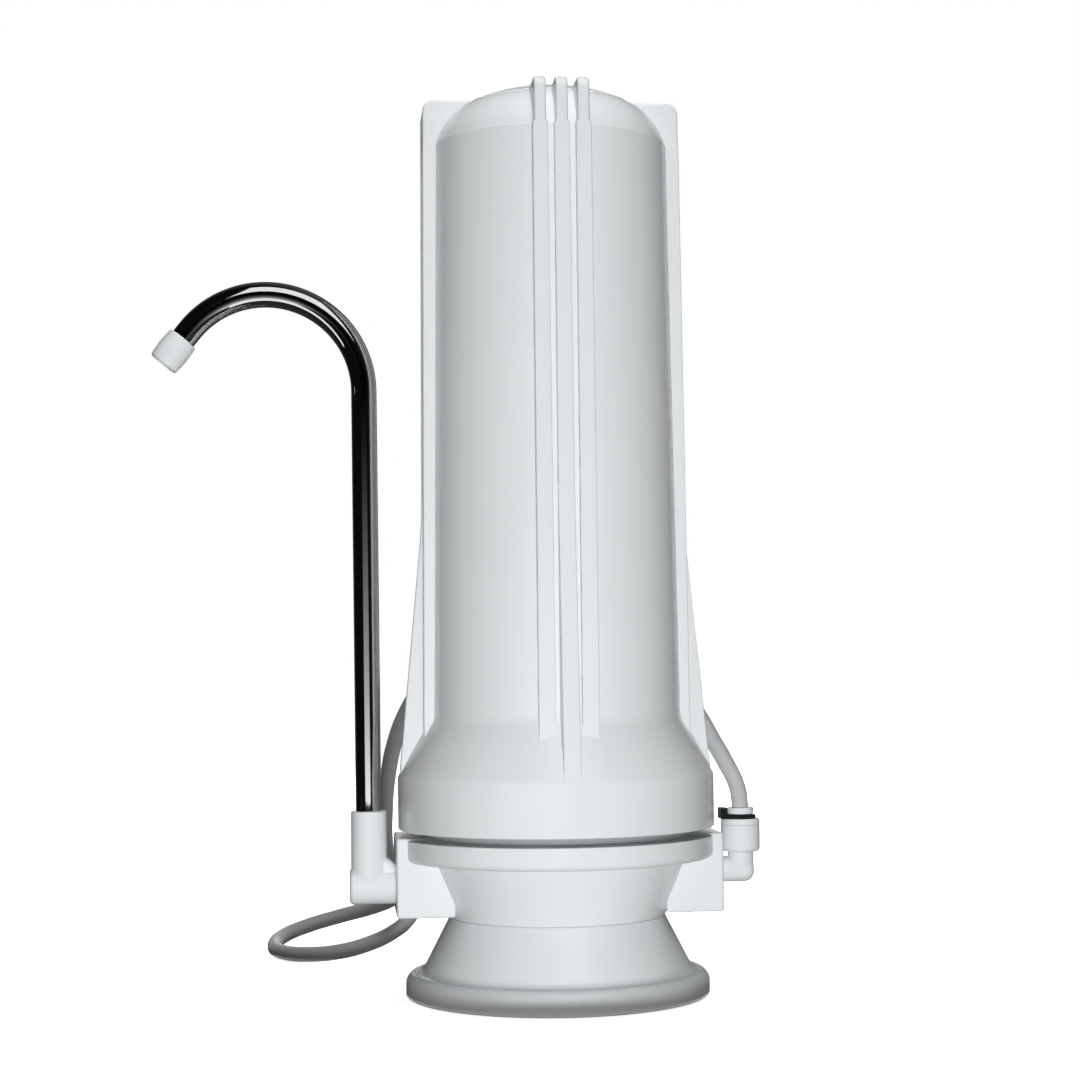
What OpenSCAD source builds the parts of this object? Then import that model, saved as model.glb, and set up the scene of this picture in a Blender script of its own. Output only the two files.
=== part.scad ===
// Countertop water filter: an upside-down canister on a round foot, with a swivelling
// gooseneck spout and a supply hose that ends in a tap diverter.
// Millimetres, +Z up, origin on the counter under the canister's axis, front towards -Y.

/* [Foot] */
// Largest radius of the foot, at its rolled rim
foot_rim_r = 56.8; // [53:0.1:62]
// Height of the rolled rim above the counter
foot_rim_h = 9.9; // [8:0.1:11]
// Rounding of the rolled rim's top
foot_bead_r = 4.3; // [3:0.1:5]
// Rounding of the rolled rim's lower edge
foot_edge_r = 1; // [0.5:0.1:2]
// Radius of the foot at its top
foot_top_r = 40.2; // [37:0.1:43]
// Radius at which the foot's cone would reach the top of the rim
foot_skirt_r = 50.7; // [47:0.1:51.5]
// Height of the foot above the counter
foot_h = 30.3; // [27:0.1:36]
// Radius of the hollow curve between the cone and the rim
foot_fillet_r = 4; // [3:0.1:7]
// Wall of the foot's cone
foot_wall = 3; // [2:0.1:4.5]
// Thickness of the foot's top plate
foot_plate_t = 4; // [3:0.1:6]
// Thickness of the inner ledge that the pad sticks to
foot_ledge_t = 2.5; // [1.5:0.1:4]
// Radius of the non-slip pad
pad_r = 46; // [42:0.1:48]
// Thickness of the non-slip pad
pad_t = 2.5; // [1.6:0.1:4]
// How far the pad stands below the rim
pad_proud = 0.6; // [0.3:0.1:1]

/* [Screws] */
// Shank diameter of the three screws that hold the foot to the base
screw_d = 4; // [3:0.1:5]
// Diameter of the screw heads
screw_head_d = 7.5; // [6.5:0.1:9]
// Height of the screw heads
screw_head_h = 2.6; // [2:0.1:4]
// Radius of the circle that the screws stand on
screw_circle_r = 25; // [22:0.1:28]
// Depth of the screws in the base's floor
screw_grip = 4.5; // [3:0.1:5]

/* [Base] */
// Radius of the bowl at its foot
bowl_foot_r = 40.5; // [38:0.1:43]
// Radius of the bowl under the flange
bowl_top_r = 49; // [48:0.1:52]
// Height of the bowl
bowl_h = 21.5; // [20:0.1:26]
// How far the flange's edge lies inside the canister's collar
flange_inset = 0.1; // [0:0.1:1]
// Thickness of the base's flange
flange_t = 8.4; // [6:0.1:12]
// Edge rounding of the flange's underside
flange_edge_r = 2.4; // [1:0.1:3.5]
// Edge rounding of the flange's top and of the collar above it
lip_edge_r = 0.5; // [0.3:0.1:1.5]
// Edge rounding of the elbows' barrels
edge_r = 1.5; // [0.5:0.1:2.5]
// Outer radius of the threaded neck
neck_r = 50.5; // [49:0.1:51.5]
// Height of the threaded neck above the flange
neck_h = 19.6; // [16:0.1:20]
// Wall of the threaded neck
neck_wall = 6; // [5:0.1:8]
// Wall of the bowl
bowl_wall = 4; // [3:0.1:5]
// Thickness of the bowl's floor
floor_t = 6; // [5.6:0.1:7]

/* [Port block] */
// How far the port faces lie outside the canister's collar
block_reach = 1.3; // [0.6:0.1:5]
// Depth of the port block, front to back
block_d = 35; // [28:0.1:44]
// How far the block's underside lies above the foot
block_lift = 1.5; // [0.5:0.1:3]
// How far the block's top stands above the flange
block_proud = 0.8; // [0.2:0.1:1.5]
// Corner rounding of the block
block_corner_r = 1; // [0.4:0.1:2]
// Radius of the threaded ports
port_r = 6.5; // [6:0.1:7]
// Depth of the threaded ports
port_depth = 15; // [13:0.5:18]
// Height of the inlet port's axis
inlet_h = 45.8; // [44:0.1:47]
// Height of the outlet port's axis
outlet_h = 42.4; // [42:0.1:44]
// Radius of the water passages
passage_r = 3.5; // [2.5:0.1:4]
// Wall round the outlet passage inside the bowl
passage_wall = 4; // [2.5:0.1:4.5]

/* [Cartridge seat] */
// Height of the cartridge's seat above the bowl's floor
seat_h = 16; // [15:0.1:20]
// Radius of the cartridge's seat
seat_r = 17; // [15:0.1:20]
// Radius of the spigots that centre the cartridge
spigot_r = 11.5; // [9:0.1:11.7]
// Length of the spigots inside the cartridge
spigot_l = 12; // [8:0.1:16]

/* [Canister] */
// Gap between the flange and the canister's collar
collar_gap = 3; // [2:0.1:4]
// Radius of the collar
collar_r = 59.1; // [57:0.1:60]
// Height of the collar
collar_h = 19.5; // [18:0.1:24]
// Height of the sloping shoulder above the collar
shoulder_h = 21.2; // [16:0.1:28]
// Radius of the tube at its foot
tube_foot_r = 47; // [45:0.1:48]
// Radius of the tube at the dome
tube_head_r = 44; // [42:0.1:44.5]
// Height of the dome's edge above the cartridge
head_room = 9.7; // [6:0.1:40]
// Height of the dome
dome_h = 22.7; // [20:0.1:26]
// Radius of curvature of the dome's crown
crown_r = 75; // [60:1:110]
// Radius out to which the crown reaches
crown_reach = 31; // [28:0.5:33]
// Wall of the canister
canister_wall = 4.6; // [3:0.1:5]

/* [Ribs] */
// Spacing of the three ribs in a group
rib_pitch = 7.75; // [7:0.05:10]
// Distance of the ribs' outer edge from the axis, at the top
rib_top_r = 47.5; // [46:0.1:49]
// Distance of the ribs' outer edge from the axis, at the shoulder
rib_foot_r = 49.5; // [48.5:0.1:52]
// Thickness of a rib above the dome's edge
rib_top_t = 4.3; // [3:0.1:4.4]
// Thickness of a rib just below the dome's edge
rib_line_t = 5.4; // [4:0.1:5.5]
// Thickness of a rib at the collar
rib_foot_t = 6.2; // [5:0.1:6.6]
// Height of the ribs above the dome's edge
rib_rise = 16.4; // [12:0.1:19]
// Distance of the ribs' inner edge from the axis, inside the dome
rib_root_r = 20; // [12:0.5:24]
// Rounding of the ribs' top corner
rib_corner_r = 4; // [1:0.1:5]
// Height over which the middle rib flares out
flare_h = 97; // [60:1:140]
// How far the flare's foot lies inside the collar
flare_inset = 0.6; // [0.2:0.1:3]

/* [Canister seal] */
// Width of the canister's sealing ring
seal_w = 3.6; // [2.8:0.1:4]
// Height of the canister's sealing ring
seal_h = 3.2; // [2.4:0.1:3.6]

/* [Cartridge] */
// Outer radius of the cartridge's end caps
cap_r = 35; // [33:0.1:36.5]
// Length of the carbon block
carbon_l = 242; // [230:1:250]
// Inner radius of the carbon block
carbon_bore_r = 14.2; // [13.5:0.1:18]
// Wall of the carbon block
carbon_wall = 17.8; // [14:0.1:18]
// Wall of the perforated core
core_wall = 1.2; // [0.8:0.1:1.5]
// Thickness of the fleece wrap
wrap_t = 1.2; // [0.8:0.1:1.4]
// Thickness of the outer netting
net_t = 0.8; // [0.5:0.1:0.9]
// Thickness of an end cap's plate
cap_t = 3; // [2:0.1:4]
// Height of an end cap's skirt
cap_skirt_h = 6; // [4:0.1:10]
// Thickness of an end gasket
gasket_t = 3; // [2:0.1:4]
// Inner radius of an end gasket
gasket_bore_r = 12; // [11.8:0.1:12.4]
// Outer radius of an end gasket
gasket_r = 21; // [18:0.1:24]

/* [Inlet elbow] */
// Distance of both elbows' upright axis from the port face
elbow_reach = 9.6; // [9:0.1:14]
// Radius of the inlet elbow's lower body
inlet_body_r = 4.85; // [4:0.1:5.2]
// Radius of the inlet elbow's barrel
inlet_barrel_r = 7.35; // [6.9:0.05:8]
// Height of the barrel's underside above the inlet axis
inlet_neck_h = 6.6; // [6:0.1:9]
// Height of the barrel, up to its cap
inlet_barrel_h = 10.2; // [10:0.1:13]
// Height of the barrel's cap
inlet_cap_h = 2.3; // [1.8:0.1:3]
// Radius of the water ways at both ends of the hose
hose_way_r = 2.2; // [1.5:0.1:2.6]
// Radius of the collet's flange
collet_flange_r = 5.1; // [4.9:0.1:6]
// Height of the collet's flange
collet_flange_h = 2.4; // [1.5:0.1:3]
// Thickness of the locking clip
clip_t = 1.6; // [1.2:0.1:2.2]
// Radius of the locking clip
clip_r = 6.2; // [5.8:0.1:6.8]
// Length of both elbows' threaded stems
stem_l = 12; // [9:0.5:13]

/* [Outlet elbow] */
// Radius of the outlet elbow's upright socket
socket_r = 6.6; // [6.4:0.1:7.2]
// Height of the socket's mouth above the outlet axis
socket_h = 27.9; // [24:0.1:34]
// Radius of the outlet elbow's level barrel
outlet_barrel_r = 6.85; // [6.6:0.05:7.5]
// How far the barrel reaches past the socket's axis
outlet_end_l = 7.3; // [7:0.1:9.5]
// Height of the web between socket and barrel
web_h = 4; // [2:0.1:7]
// Thickness of the web between socket and barrel
web_t = 9; // [5:0.1:11]
// Height of the spout's seat above the outlet axis
spout_seat_h = 7.6; // [6:0.1:9]

/* [Spout] */
// Outside diameter of the spout's tube
spout_d = 9.5; // [8:0.1:9.8]
// Wall of the spout's tube
spout_wall = 1; // [0.7:0.1:1.4]
// Height of the bend's centre above the outlet axis
bend_h = 183.7; // [150:1:230]
// Radius of the spout's bend, at its middle
bend_r = 35.7; // [30:0.5:60]
// Angle that the spout bends through
bend_a = 141; // [120:1:160]
// Straight length after the bend
spout_end_l = 14.3; // [12:0.5:24]
// Diameter of the spout's tip
tip_d = 12.1; // [12:0.1:14]
// Length of the spout's tip
tip_l = 12; // [9:0.1:14]
// Depth of the mouth in the tip, below the tube's end
mouth_l = 1.8; // [1:0.1:3]
// Wall left by the tip's mouth
mouth_lip = 1.4; // [1:0.1:2]
// Section of the spout's sealing rings
spout_ring_w = 0.9; // [0.7:0.1:1]
// Height of the spout's sealing rings
spout_ring_h = 1.6; // [1.2:0.1:2]
// Spacing of the spout's sealing rings
spout_ring_gap = 6; // [4:0.1:7]

/* [Hose] */
// Outside diameter of the supply hose
hose_d = 6.35; // [5.5:0.05:6.5]
// Radius of the hose's coil at its outer turn
coil_r = 39; // [36:0.5:44]
// Step from one turn of the coil to the next
coil_step = 7; // [6.9:0.05:8]
// Step from one layer of the coil to the next
coil_layer = 6.9; // [6.85:0.05:8]
// Height of the coil's lower layer above the counter
coil_low = 4.6; // [4.4:0.1:5]
// Turns in the coil
coil_turns = 2.375; // [2.375:1:3.375]
// Width of the tie that holds the coil
tie_w = 4; // [3:0.5:8]
// Thickness of the tie
tie_t = 0.7; // [0.4:0.1:0.9]

/* [Diverter] */
// Radius of the diverter's body
diverter_r = 14; // [13.5:0.1:15]
// Height of the diverter's body
diverter_h = 34; // [33:0.5:40]
// Radius of the diverter's tap thread
tap_r = 11.4; // [10:0.1:11.9]
// Depth of the diverter's tap thread
tap_depth = 9; // [7:0.5:10]
// Thickness of the tap washer
washer_t = 2.5; // [1.5:0.1:3]
// Radius of the diverter's water chamber
chamber_r = 6; // [5.5:0.1:7]
// Radius of the aerator
aerator_r = 9; // [8:0.1:10.5]
// Height of the aerator
aerator_h = 6; // [4:0.1:6.4]
// Length of the hose port beyond the body
hose_port_l = 5; // [4:0.1:5.5]
// Radius of the hose port
hose_port_r = 5.6; // [5.4:0.1:6]
// Length of the hose nut
nut_l = 12; // [9:0.1:14]
// Distance across the hose nut's flats
nut_flats = 15; // [14:0.1:17]
// Diameter of the pull stem
pull_d = 5; // [4:0.1:6]
// Diameter of the pull knob
knob_d = 13; // [11:0.1:16]
// Length of the pull knob
knob_l = 9; // [7:0.1:12]
// Travel of the pull knob
pull_travel = 6; // [4:0.1:6]

/* [Hidden] */
$fn = 96;

// Clearances
running_gap = 0.05;
thread_gap = 0.5;
loose_gap = 0.3;
seat_gap = 0.1;
hose_gap = 0.15;
sink = 0.5;

// Small sizes that follow the moulds
small_edge_r = 0.8;
soft_corner = 0.3;
hose_shelf_t = 1;
hose_lead_l = 2.6;
collet_wall = 1.4;
tab_t = 1.8;
washer_step = 0.8;
aerator_shelf_t = 1.4;
nut_gap = 1;
pull_boss_l = 2.5;
skirt_step = 1.5;
aerator_ring_r = 3.9;

// How much thicker the spout's straight end is than its bend, so that the two join cleanly
weld = 0.02;

// Heights, from the counter up
foot_ledge_z = pad_t + foot_ledge_t;
foot_plate_z = foot_h - foot_plate_t;
floor_z = foot_h + floor_t;
flange_z = foot_h + bowl_h;
flange_top_z = flange_z + flange_t;
neck_top_z = flange_top_z + neck_h;
block_z = foot_h + block_lift;
block_top_z = flange_top_z + block_proud;
seat_z = floor_z + seat_h;
cap_z = seat_z + gasket_t;
carbon_z = cap_z + cap_t;
carbon_top_z = carbon_z + carbon_l;
cap_top_z = carbon_top_z + cap_t;
cartridge_top_z = cap_top_z + gasket_t;
collar_z = flange_top_z + collar_gap;
collar_top_z = collar_z + collar_h;
tube_z = collar_top_z + shoulder_h;
dome_z = cartridge_top_z + head_room;
apex_z = dome_z + dome_h;
rib_top_z = dome_z + rib_rise;
ledge_z = neck_top_z + seat_gap;

// The foot's outline: a cone and a round rim, joined by a hollow curve that touches both
rim_c = [foot_rim_r - foot_bead_r, foot_rim_h - foot_bead_r];
cone_top = [foot_top_r, foot_h];
cone_run = unit([foot_skirt_r, foot_rim_h] - cone_top);
cone_out = [-cone_run.y, cone_run.x];
fillet_start = cone_top + foot_fillet_r * cone_out;
fillet_w = fillet_start - rim_c;
fillet_b = fillet_w * cone_run;
fillet_reach = foot_fillet_r + foot_bead_r;
fillet_t = -fillet_b - sqrt(fillet_b ^ 2 - fillet_w * fillet_w + fillet_reach ^ 2);
fillet_c = fillet_start + fillet_t * cone_run;
rim_a = atan2(fillet_c.y - rim_c.y, fillet_c.x - rim_c.x);
cone_a = atan2(cone_out.y, cone_out.x);
cone_slope = (foot_skirt_r - foot_top_r) / (foot_h - foot_rim_h);
foot_cone_wall = foot_wall / cone_out.x;
foot_access_r = foot_top_r - 2 * foot_wall;

// The collar's size sets the flange under it and the ribs' feet on it
flange_r = collar_r - flange_inset;
flare_r = collar_r - flare_inset;

// The canister's inside
neck_bore_r = neck_r - neck_wall;
collar_bore_r = neck_r + thread_gap;
bowl_bore_r = bowl_foot_r - bowl_wall;
tube_bore_r = tube_foot_r - canister_wall;
head_bore_r = tube_head_r - canister_wall;
seal_r = (neck_bore_r + neck_r) / 2;

// The cartridge's radii
carbon_r = carbon_bore_r + carbon_wall;
wrap_r = carbon_r + running_gap + wrap_t;
net_r = wrap_r + running_gap + net_t;
core_r = carbon_bore_r - running_gap;

// The elbows and what they hold
face_x = collar_r + block_reach;
elbow_x = face_x + elbow_reach;
hose_r = hose_d / 2;
barrel_z = inlet_h + inlet_neck_h;
inlet_cap_z = barrel_z + inlet_barrel_h;
inlet_top_z = inlet_cap_z + inlet_cap_h;
hose_stop_z = barrel_z + hose_shelf_t;
hose_ring_z = hose_stop_z + hose_lead_l;
hose_ring_h = 2.4;
hose_ring_w = 1.7;
hose_hole_r = hose_r + hose_gap;
grip_z = hose_ring_z + hose_ring_h + running_gap;
grip_t = 0.4;
collet_z = grip_z + grip_t + running_gap;
collet_r = hose_hole_r + collet_wall;
collet_flange_z = inlet_top_z + clip_t + 2 * running_gap;
tab_z = inlet_top_z + running_gap;
tab_in_x = elbow_x - collet_flange_r - loose_gap;
tab_out_x = elbow_x - clip_r - tab_t;
tab_w = 7;
clip_gap_w = 6.4;
spout_r = spout_d / 2;
spout_bore_r = spout_r - spout_wall;
spout_seat_z = outlet_h + spout_seat_h;
socket_top_z = outlet_h + socket_h;
bend_z = outlet_h + bend_h;
tip_in_l = tip_l - mouth_l;

// The diverter stands behind the foot, where the hose's tail reaches it
diverter_x = 36;
diverter_y = 98;
hose_port_z = 14;
tap_z = diverter_h - tap_depth;
washer_z = tap_z - washer_t;
washer_r = tap_r - washer_step;
chamber_z = aerator_h + aerator_shelf_t;
hose_port_y = diverter_y + diverter_r + hose_port_l;
nut_y = diverter_y + diverter_r + nut_gap;
pull_boss_y = diverter_y - diverter_r - pull_boss_l;
pull_boss_r = 5.5;
knob_y = pull_boss_y - loose_gap - knob_l;
valve_t = 2;
valve_r = 4;
stem_in_y = diverter_y - sqrt(chamber_r ^ 2 - valve_r ^ 2) + loose_gap + pull_travel;
tail_end_y = hose_port_y + running_gap;

// The hose's route: up from the inlet, round behind the canister, down to the counter
// in one open turn, and back behind the foot
hose_points = [
    [elbow_x, 0, hose_stop_z + running_gap], [elbow_x, 0, 69.5],
    [69, 0.6, 77], [65.2, 3.6, 86], [61.4, 9.8, 94.5], [57.8, 19, 103.5], [52.6, 30, 113],
    [44, 42, 122.5], [32, 53, 131], [17, 61, 137], [0, 66, 139.5], [-17, 68, 137.5],
    [-32, 68, 130], [-44, 67, 119], [-52.8, 67, 106], [-58.3, 68, 92], [-61, 70, 78],
    [-62, 74, 65], [-62, 81.5, 53], [-60.6, 92, 43], [-58, 105.5, 34.5], [-55.8, 120.5, 27.5],
    [-57.8, 135, 22], [-66.8, 147, 17], [-80.5, 152, 13], [-94.5, 149.5, 9.5], [-105, 139.5, 6.5],
    [-108.5, 125, 4.2], [-105, 111, 3.4], [-95, 101, 3.5], [-81, 97.5, 4.8], [-67, 101, 8],
    [-57, 111, 11.5], [-51.5, 126, 14], [-48.5, 145, 15], [-44.5, 164, 14.8], [-38, 182, 13.6],
    [-30, 195.5, 12.3]
];
// The tail: from the coil's lower layer to the diverter's hose port
tail_points = [
    [50.6, 162, 6.2], [47, 152, 8.8], [42, 142.5, 11.3], [38, 134.5, 13.3],
    [diverter_x, 126, hose_port_z], [diverter_x, tail_end_y, hose_port_z]
];
hose_sides = 10;
side_seed = [0.3, 1, 0.2];

// The coil lies behind the foot: it comes in on the upper layer, spirals in, drops a layer
// in the half turn where it reverses, and spirals out again
coil_c = [13, 184];
coil_start_a = 135;
coil_drop_turn = 0.25;
coil_sides = 6;
coil_loop_rings = 24;
coil_rings = round(coil_loop_rings * coil_turns);
coil_min_r = coil_r - coil_step * coil_turns / 2;
coil_turn_points = [for (i = [0 : coil_rings]) coil_point(coil_turns * i / coil_rings)];
coil_in = coil_turn_points[0] - hose_d * coil_along(0);
coil_out = coil_turn_points[coil_rings] + hose_d * coil_along(coil_turns);
coil_path = concat([coil_in], coil_turn_points, [coil_out]);
coil_lead_in = coil_in - hose_d * coil_along(0);
coil_lead_out = coil_out + hose_d * coil_along(coil_turns);
coil_gap = min([
    for (i = [0 : coil_rings], j = [i + coil_loop_rings / 2 : coil_rings])
        norm(coil_turn_points[i] - coil_turn_points[j])
]) - hose_d;
tie_a = -45;
tie_turn = (coil_start_a - tie_a) / 360;
tie_upper = coil_point(tie_turn);
tie_lower = coil_point(tie_turn + 1);
tie_radii = [for (p = [tie_upper, tie_lower]) norm([p.x, p.y] - coil_c)];
tie_in = [min(tie_radii) - hose_r - loose_gap, tie_lower.z - hose_r - loose_gap];
tie_out = [max(tie_radii) + hose_r + loose_gap, tie_upper.z + hose_r + loose_gap];

echo(coil_least_gap = coil_gap);

function unit(v) = v / norm(v);

function arc_points(c, r, a0, a1, steps = 12) =
    [for (i = [0 : steps]) let (a = a0 + (a1 - a0) * i / steps) c + r * [cos(a), sin(a)]];

// A point of the coil, a number of turns from its start
function coil_point(turns) =
    let (past_middle = turns - coil_turns / 2)
    let (a = coil_start_a - 360 * turns)
    let (r = coil_min_r + coil_step * abs(past_middle))
    let (into_drop = max(-1, min(1, past_middle / coil_drop_turn)))
    let (drop = (1 + sin(90 * into_drop)) / 2)
    [coil_c.x + r * cos(a), coil_c.y + r * sin(a), coil_low + coil_layer * (1 - drop)];

// The coil's direction, a number of turns from its start
function coil_along(turns) =
    let (a = coil_start_a - 360 * turns)
    [sin(a), -cos(a), 0];

function path_along(p, i) =
    i == 0 ? unit(p[1] - p[0]) :
    i == len(p) - 1 ? unit(p[i] - p[i - 1]) :
    unit(unit(p[i + 1] - p[i]) + unit(p[i] - p[i - 1]));

// Sideways directions that turn as little as they can along a path
function path_sides(p) = [
    for (
        i = 0, n = unit(cross(path_along(p, 0), side_seed));
        i < len(p);
        i = i + 1, n = i < len(p) ? square_to(n, path_along(p, i)) : n
    ) n
];

function square_to(v, along) = unit(v - (v * along) * along);

// A dome's half outline, from its edge to its top: a crown and a knuckle that meet smoothly
function dome_outline(edge_r, edge_z, rise, crown, reach) =
    let (top_z = edge_z + rise)
    let (a = asin(reach / crown))
    let (join = [reach, top_z - crown * (1 - cos(a))])
    let (to_edge = [edge_r, edge_z] - join)
    let (knuckle = -(to_edge * to_edge) / (2 * (to_edge * [sin(a), cos(a)])))
    let (knuckle_c = join - knuckle * [sin(a), cos(a)])
    let (edge_a = atan2(edge_z - knuckle_c.y, edge_r - knuckle_c.x))
    concat(
        arc_points(knuckle_c, knuckle, edge_a, 90 - a),
        arc_points([0, top_z - crown], crown, 90 - a, 90, 8)
    );

// A round tube along a path, with flat ends
module swept_tube(path, r, sides) {
    last = len(path) - 1;
    side = path_sides(path);
    points = [
        for (i = [0 : last], j = [0 : sides - 1])
            let (up = cross(path_along(path, i), side[i]))
            path[i] + r * (cos(360 * j / sides) * side[i] + sin(360 * j / sides) * up)
    ];
    walls = [
        for (i = [0 : last - 1], j = [0 : sides - 1])
            let (k = (j + 1) % sides)
            each [
                [i * sides + j, (i + 1) * sides + j, (i + 1) * sides + k],
                [i * sides + j, (i + 1) * sides + k, i * sides + k]
            ]
    ];
    ends = [
        for (j = [1 : sides - 2])
            each [
                [0, j, j + 1],
                [last * sides, last * sides + j + 1, last * sides + j]
            ]
    ];
    polyhedron(points, concat(walls, ends));
}

// A plain ring standing on a height
module ring(outer_r, inner_r, z, h) {
    translate([0, 0, z])
        difference() {
            cylinder(h = h, r = outer_r);
            translate([0, 0, -sink]) cylinder(h = h + 2 * sink, r = inner_r);
        }
}

// A soft ring with rounded corners
module soft_ring(inner_r, w, z, h) {
    corner = min(w, h) * soft_corner;
    rotate_extrude()
        polygon(concat(
            arc_points([inner_r + corner, z + corner], corner, 180, 270, 4),
            arc_points([inner_r + w - corner, z + corner], corner, 270, 360, 4),
            arc_points([inner_r + w - corner, z + h - corner], corner, 0, 90, 4),
            arc_points([inner_r + corner, z + h - corner], corner, 90, 180, 4)
        ));
}

// A cylinder lying along X
module along_x(x0, x1, z, r) {
    translate([x0, 0, z]) rotate([0, 90, 0]) cylinder(h = x1 - x0, r = r);
}

// A cylinder lying along Y, on the diverter's port height
module along_y(y0, y1, r, sides = $fn) {
    translate([diverter_x, y0, hose_port_z])
        rotate([-90, 0, 0]) cylinder(h = y1 - y0, r = r, $fn = sides);
}

module at_screws() {
    for (a = [90, 210, 330]) rotate(a) translate([screw_circle_r, 0, 0]) children();
}

module foot() {
    color("whitesmoke")
        difference() {
            rotate_extrude()
                polygon(concat(
                    [[0, pad_proud]],
                    arc_points(
                        [foot_rim_r - foot_edge_r, pad_proud + foot_edge_r],
                        foot_edge_r, -90, 0, 5
                    ),
                    arc_points(rim_c, foot_bead_r, 0, rim_a),
                    arc_points(fillet_c, foot_fillet_r, rim_a + 180, cone_a + 180, 8),
                    [cone_top, [0, foot_h]]
                ));
            translate([0, 0, foot_ledge_z])
                cylinder(
                    h = foot_plate_z - foot_ledge_z,
                    r1 = foot_top_r + cone_slope * (foot_h - foot_ledge_z) - foot_cone_wall,
                    r2 = foot_top_r + cone_slope * foot_plate_t - foot_cone_wall
                );
            cylinder(h = foot_ledge_z + sink, r = foot_access_r);
            cylinder(h = pad_t, r = pad_r + loose_gap);
            at_screws() cylinder(h = foot_h + sink, r = screw_d / 2 + loose_gap);
        }
}

module foot_pad() {
    color("dimgray") cylinder(h = pad_t, r = pad_r);
}

module foot_screws() {
    color("silver")
        at_screws() {
            translate([0, 0, foot_plate_z - screw_head_h])
                cylinder(h = screw_head_h, r = screw_head_d / 2);
            translate([0, 0, foot_plate_z - sink])
                cylinder(h = foot_plate_t + screw_grip + sink, r = screw_d / 2);
        }
}

module filter_base() {
    color("whitesmoke") {
        difference() {
            union() {
                rotate_extrude()
                    polygon(concat(
                        [[0, foot_h], [bowl_foot_r, foot_h], [bowl_top_r, flange_z]],
                        arc_points(
                            [flange_r - flange_edge_r, flange_z + flange_edge_r],
                            flange_edge_r, -90, 0, 6
                        ),
                        arc_points(
                            [flange_r - lip_edge_r, flange_top_z - lip_edge_r],
                            lip_edge_r, 0, 90, 5
                        ),
                        [[neck_r, flange_top_z], [neck_r, neck_top_z], [0, neck_top_z]]
                    ));
                port_block();
            }
            rotate_extrude()
                polygon([
                    [0, floor_z], [bowl_bore_r, floor_z], [neck_bore_r, flange_z],
                    [neck_bore_r, neck_top_z + sink], [0, neck_top_z + sink]
                ]);
            at_screws() cylinder(h = foot_h + screw_grip + loose_gap, r = screw_d / 2 + running_gap);
            along_x(bowl_bore_r - bowl_wall, face_x + sink, inlet_h, passage_r);
            along_x(face_x - port_depth, face_x + sink, inlet_h, port_r);
            along_x(-face_x - sink, -bowl_bore_r, outlet_h, passage_r);
            along_x(-face_x - sink, port_depth - face_x, outlet_h, port_r);
        }
        outlet_post();
    }
}

// The bar that carries both ports, level across the bowl
module port_block() {
    half = face_x - block_corner_r;
    low = block_z + block_corner_r;
    high = block_top_z - block_corner_r;
    translate([0, block_d / 2, 0])
        rotate([90, 0, 0])
            linear_extrude(block_d)
                polygon(concat(
                    arc_points([half, low], block_corner_r, -90, 0, 4),
                    arc_points([half, high], block_corner_r, 0, 90, 4),
                    arc_points([-half, high], block_corner_r, 90, 180, 4),
                    arc_points([-half, low], block_corner_r, 180, 270, 4)
                ));
}

// The cartridge's seat and spigot, with the outlet passage that leads from it
module outlet_post() {
    difference() {
        union() {
            translate([0, 0, floor_z - sink]) cylinder(h = seat_h + sink, r = seat_r);
            translate([0, 0, seat_z - sink]) cylinder(h = spigot_l + sink, r = spigot_r);
            intersection() {
                along_x(-bowl_top_r, 0, outlet_h, passage_r + passage_wall);
                translate([0, 0, floor_z - sink])
                    cylinder(h = seat_h, r = bowl_bore_r + bowl_wall / 2);
            }
        }
        along_x(-bowl_top_r, passage_r, outlet_h, passage_r);
        translate([0, 0, outlet_h]) cylinder(h = seat_h + spigot_l, r = passage_r);
    }
}

module canister() {
    color("whitesmoke") {
        difference() {
            union() {
                rotate_extrude()
                    polygon(concat(
                        [[0, collar_z]],
                        arc_points(
                            [collar_r - lip_edge_r, collar_z + lip_edge_r],
                            lip_edge_r, -90, 0, 5
                        ),
                        [[collar_r, collar_top_z], [tube_foot_r, tube_z]],
                        dome_outline(tube_head_r, dome_z, dome_h, crown_r, crown_reach)
                    ));
                for (a = [0 : 90 : 270]) rotate(a) rib_group();
            }
            rotate_extrude()
                polygon(concat(
                    [[0, collar_z - sink], [collar_bore_r, collar_z - sink], [collar_bore_r, ledge_z]],
                    [[neck_bore_r, ledge_z], [tube_bore_r, tube_z]],
                    dome_outline(
                        head_bore_r, dome_z, dome_h - canister_wall,
                        crown_r - canister_wall, crown_reach - canister_wall
                    )
                ));
            ring(
                seal_r + seal_w / 2 + loose_gap, seal_r - seal_w / 2 - loose_gap,
                ledge_z - sink, seal_h - seat_gap + loose_gap + sink
            );
        }
        head_post();
    }
}

// The post under the dome that centres the cartridge and presses on its upper gasket
module head_post() {
    top_z = apex_z - canister_wall + sink;
    low_z = cartridge_top_z - spigot_l;
    press_z = cartridge_top_z + seat_gap;
    difference() {
        union() {
            translate([0, 0, low_z]) cylinder(h = top_z - low_z, r = spigot_r);
            translate([0, 0, press_z]) cylinder(h = top_z - press_z, r = seat_r);
        }
        translate([0, 0, low_z - sink])
            cylinder(h = top_z - low_z - sink, r = spigot_r - canister_wall);
    }
}

// Three upright ribs side by side, on the +X side
module rib_group() {
    for (k = [-1 : 1]) translate([0, k * rib_pitch, 0]) rib(k == 0);
}

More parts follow.
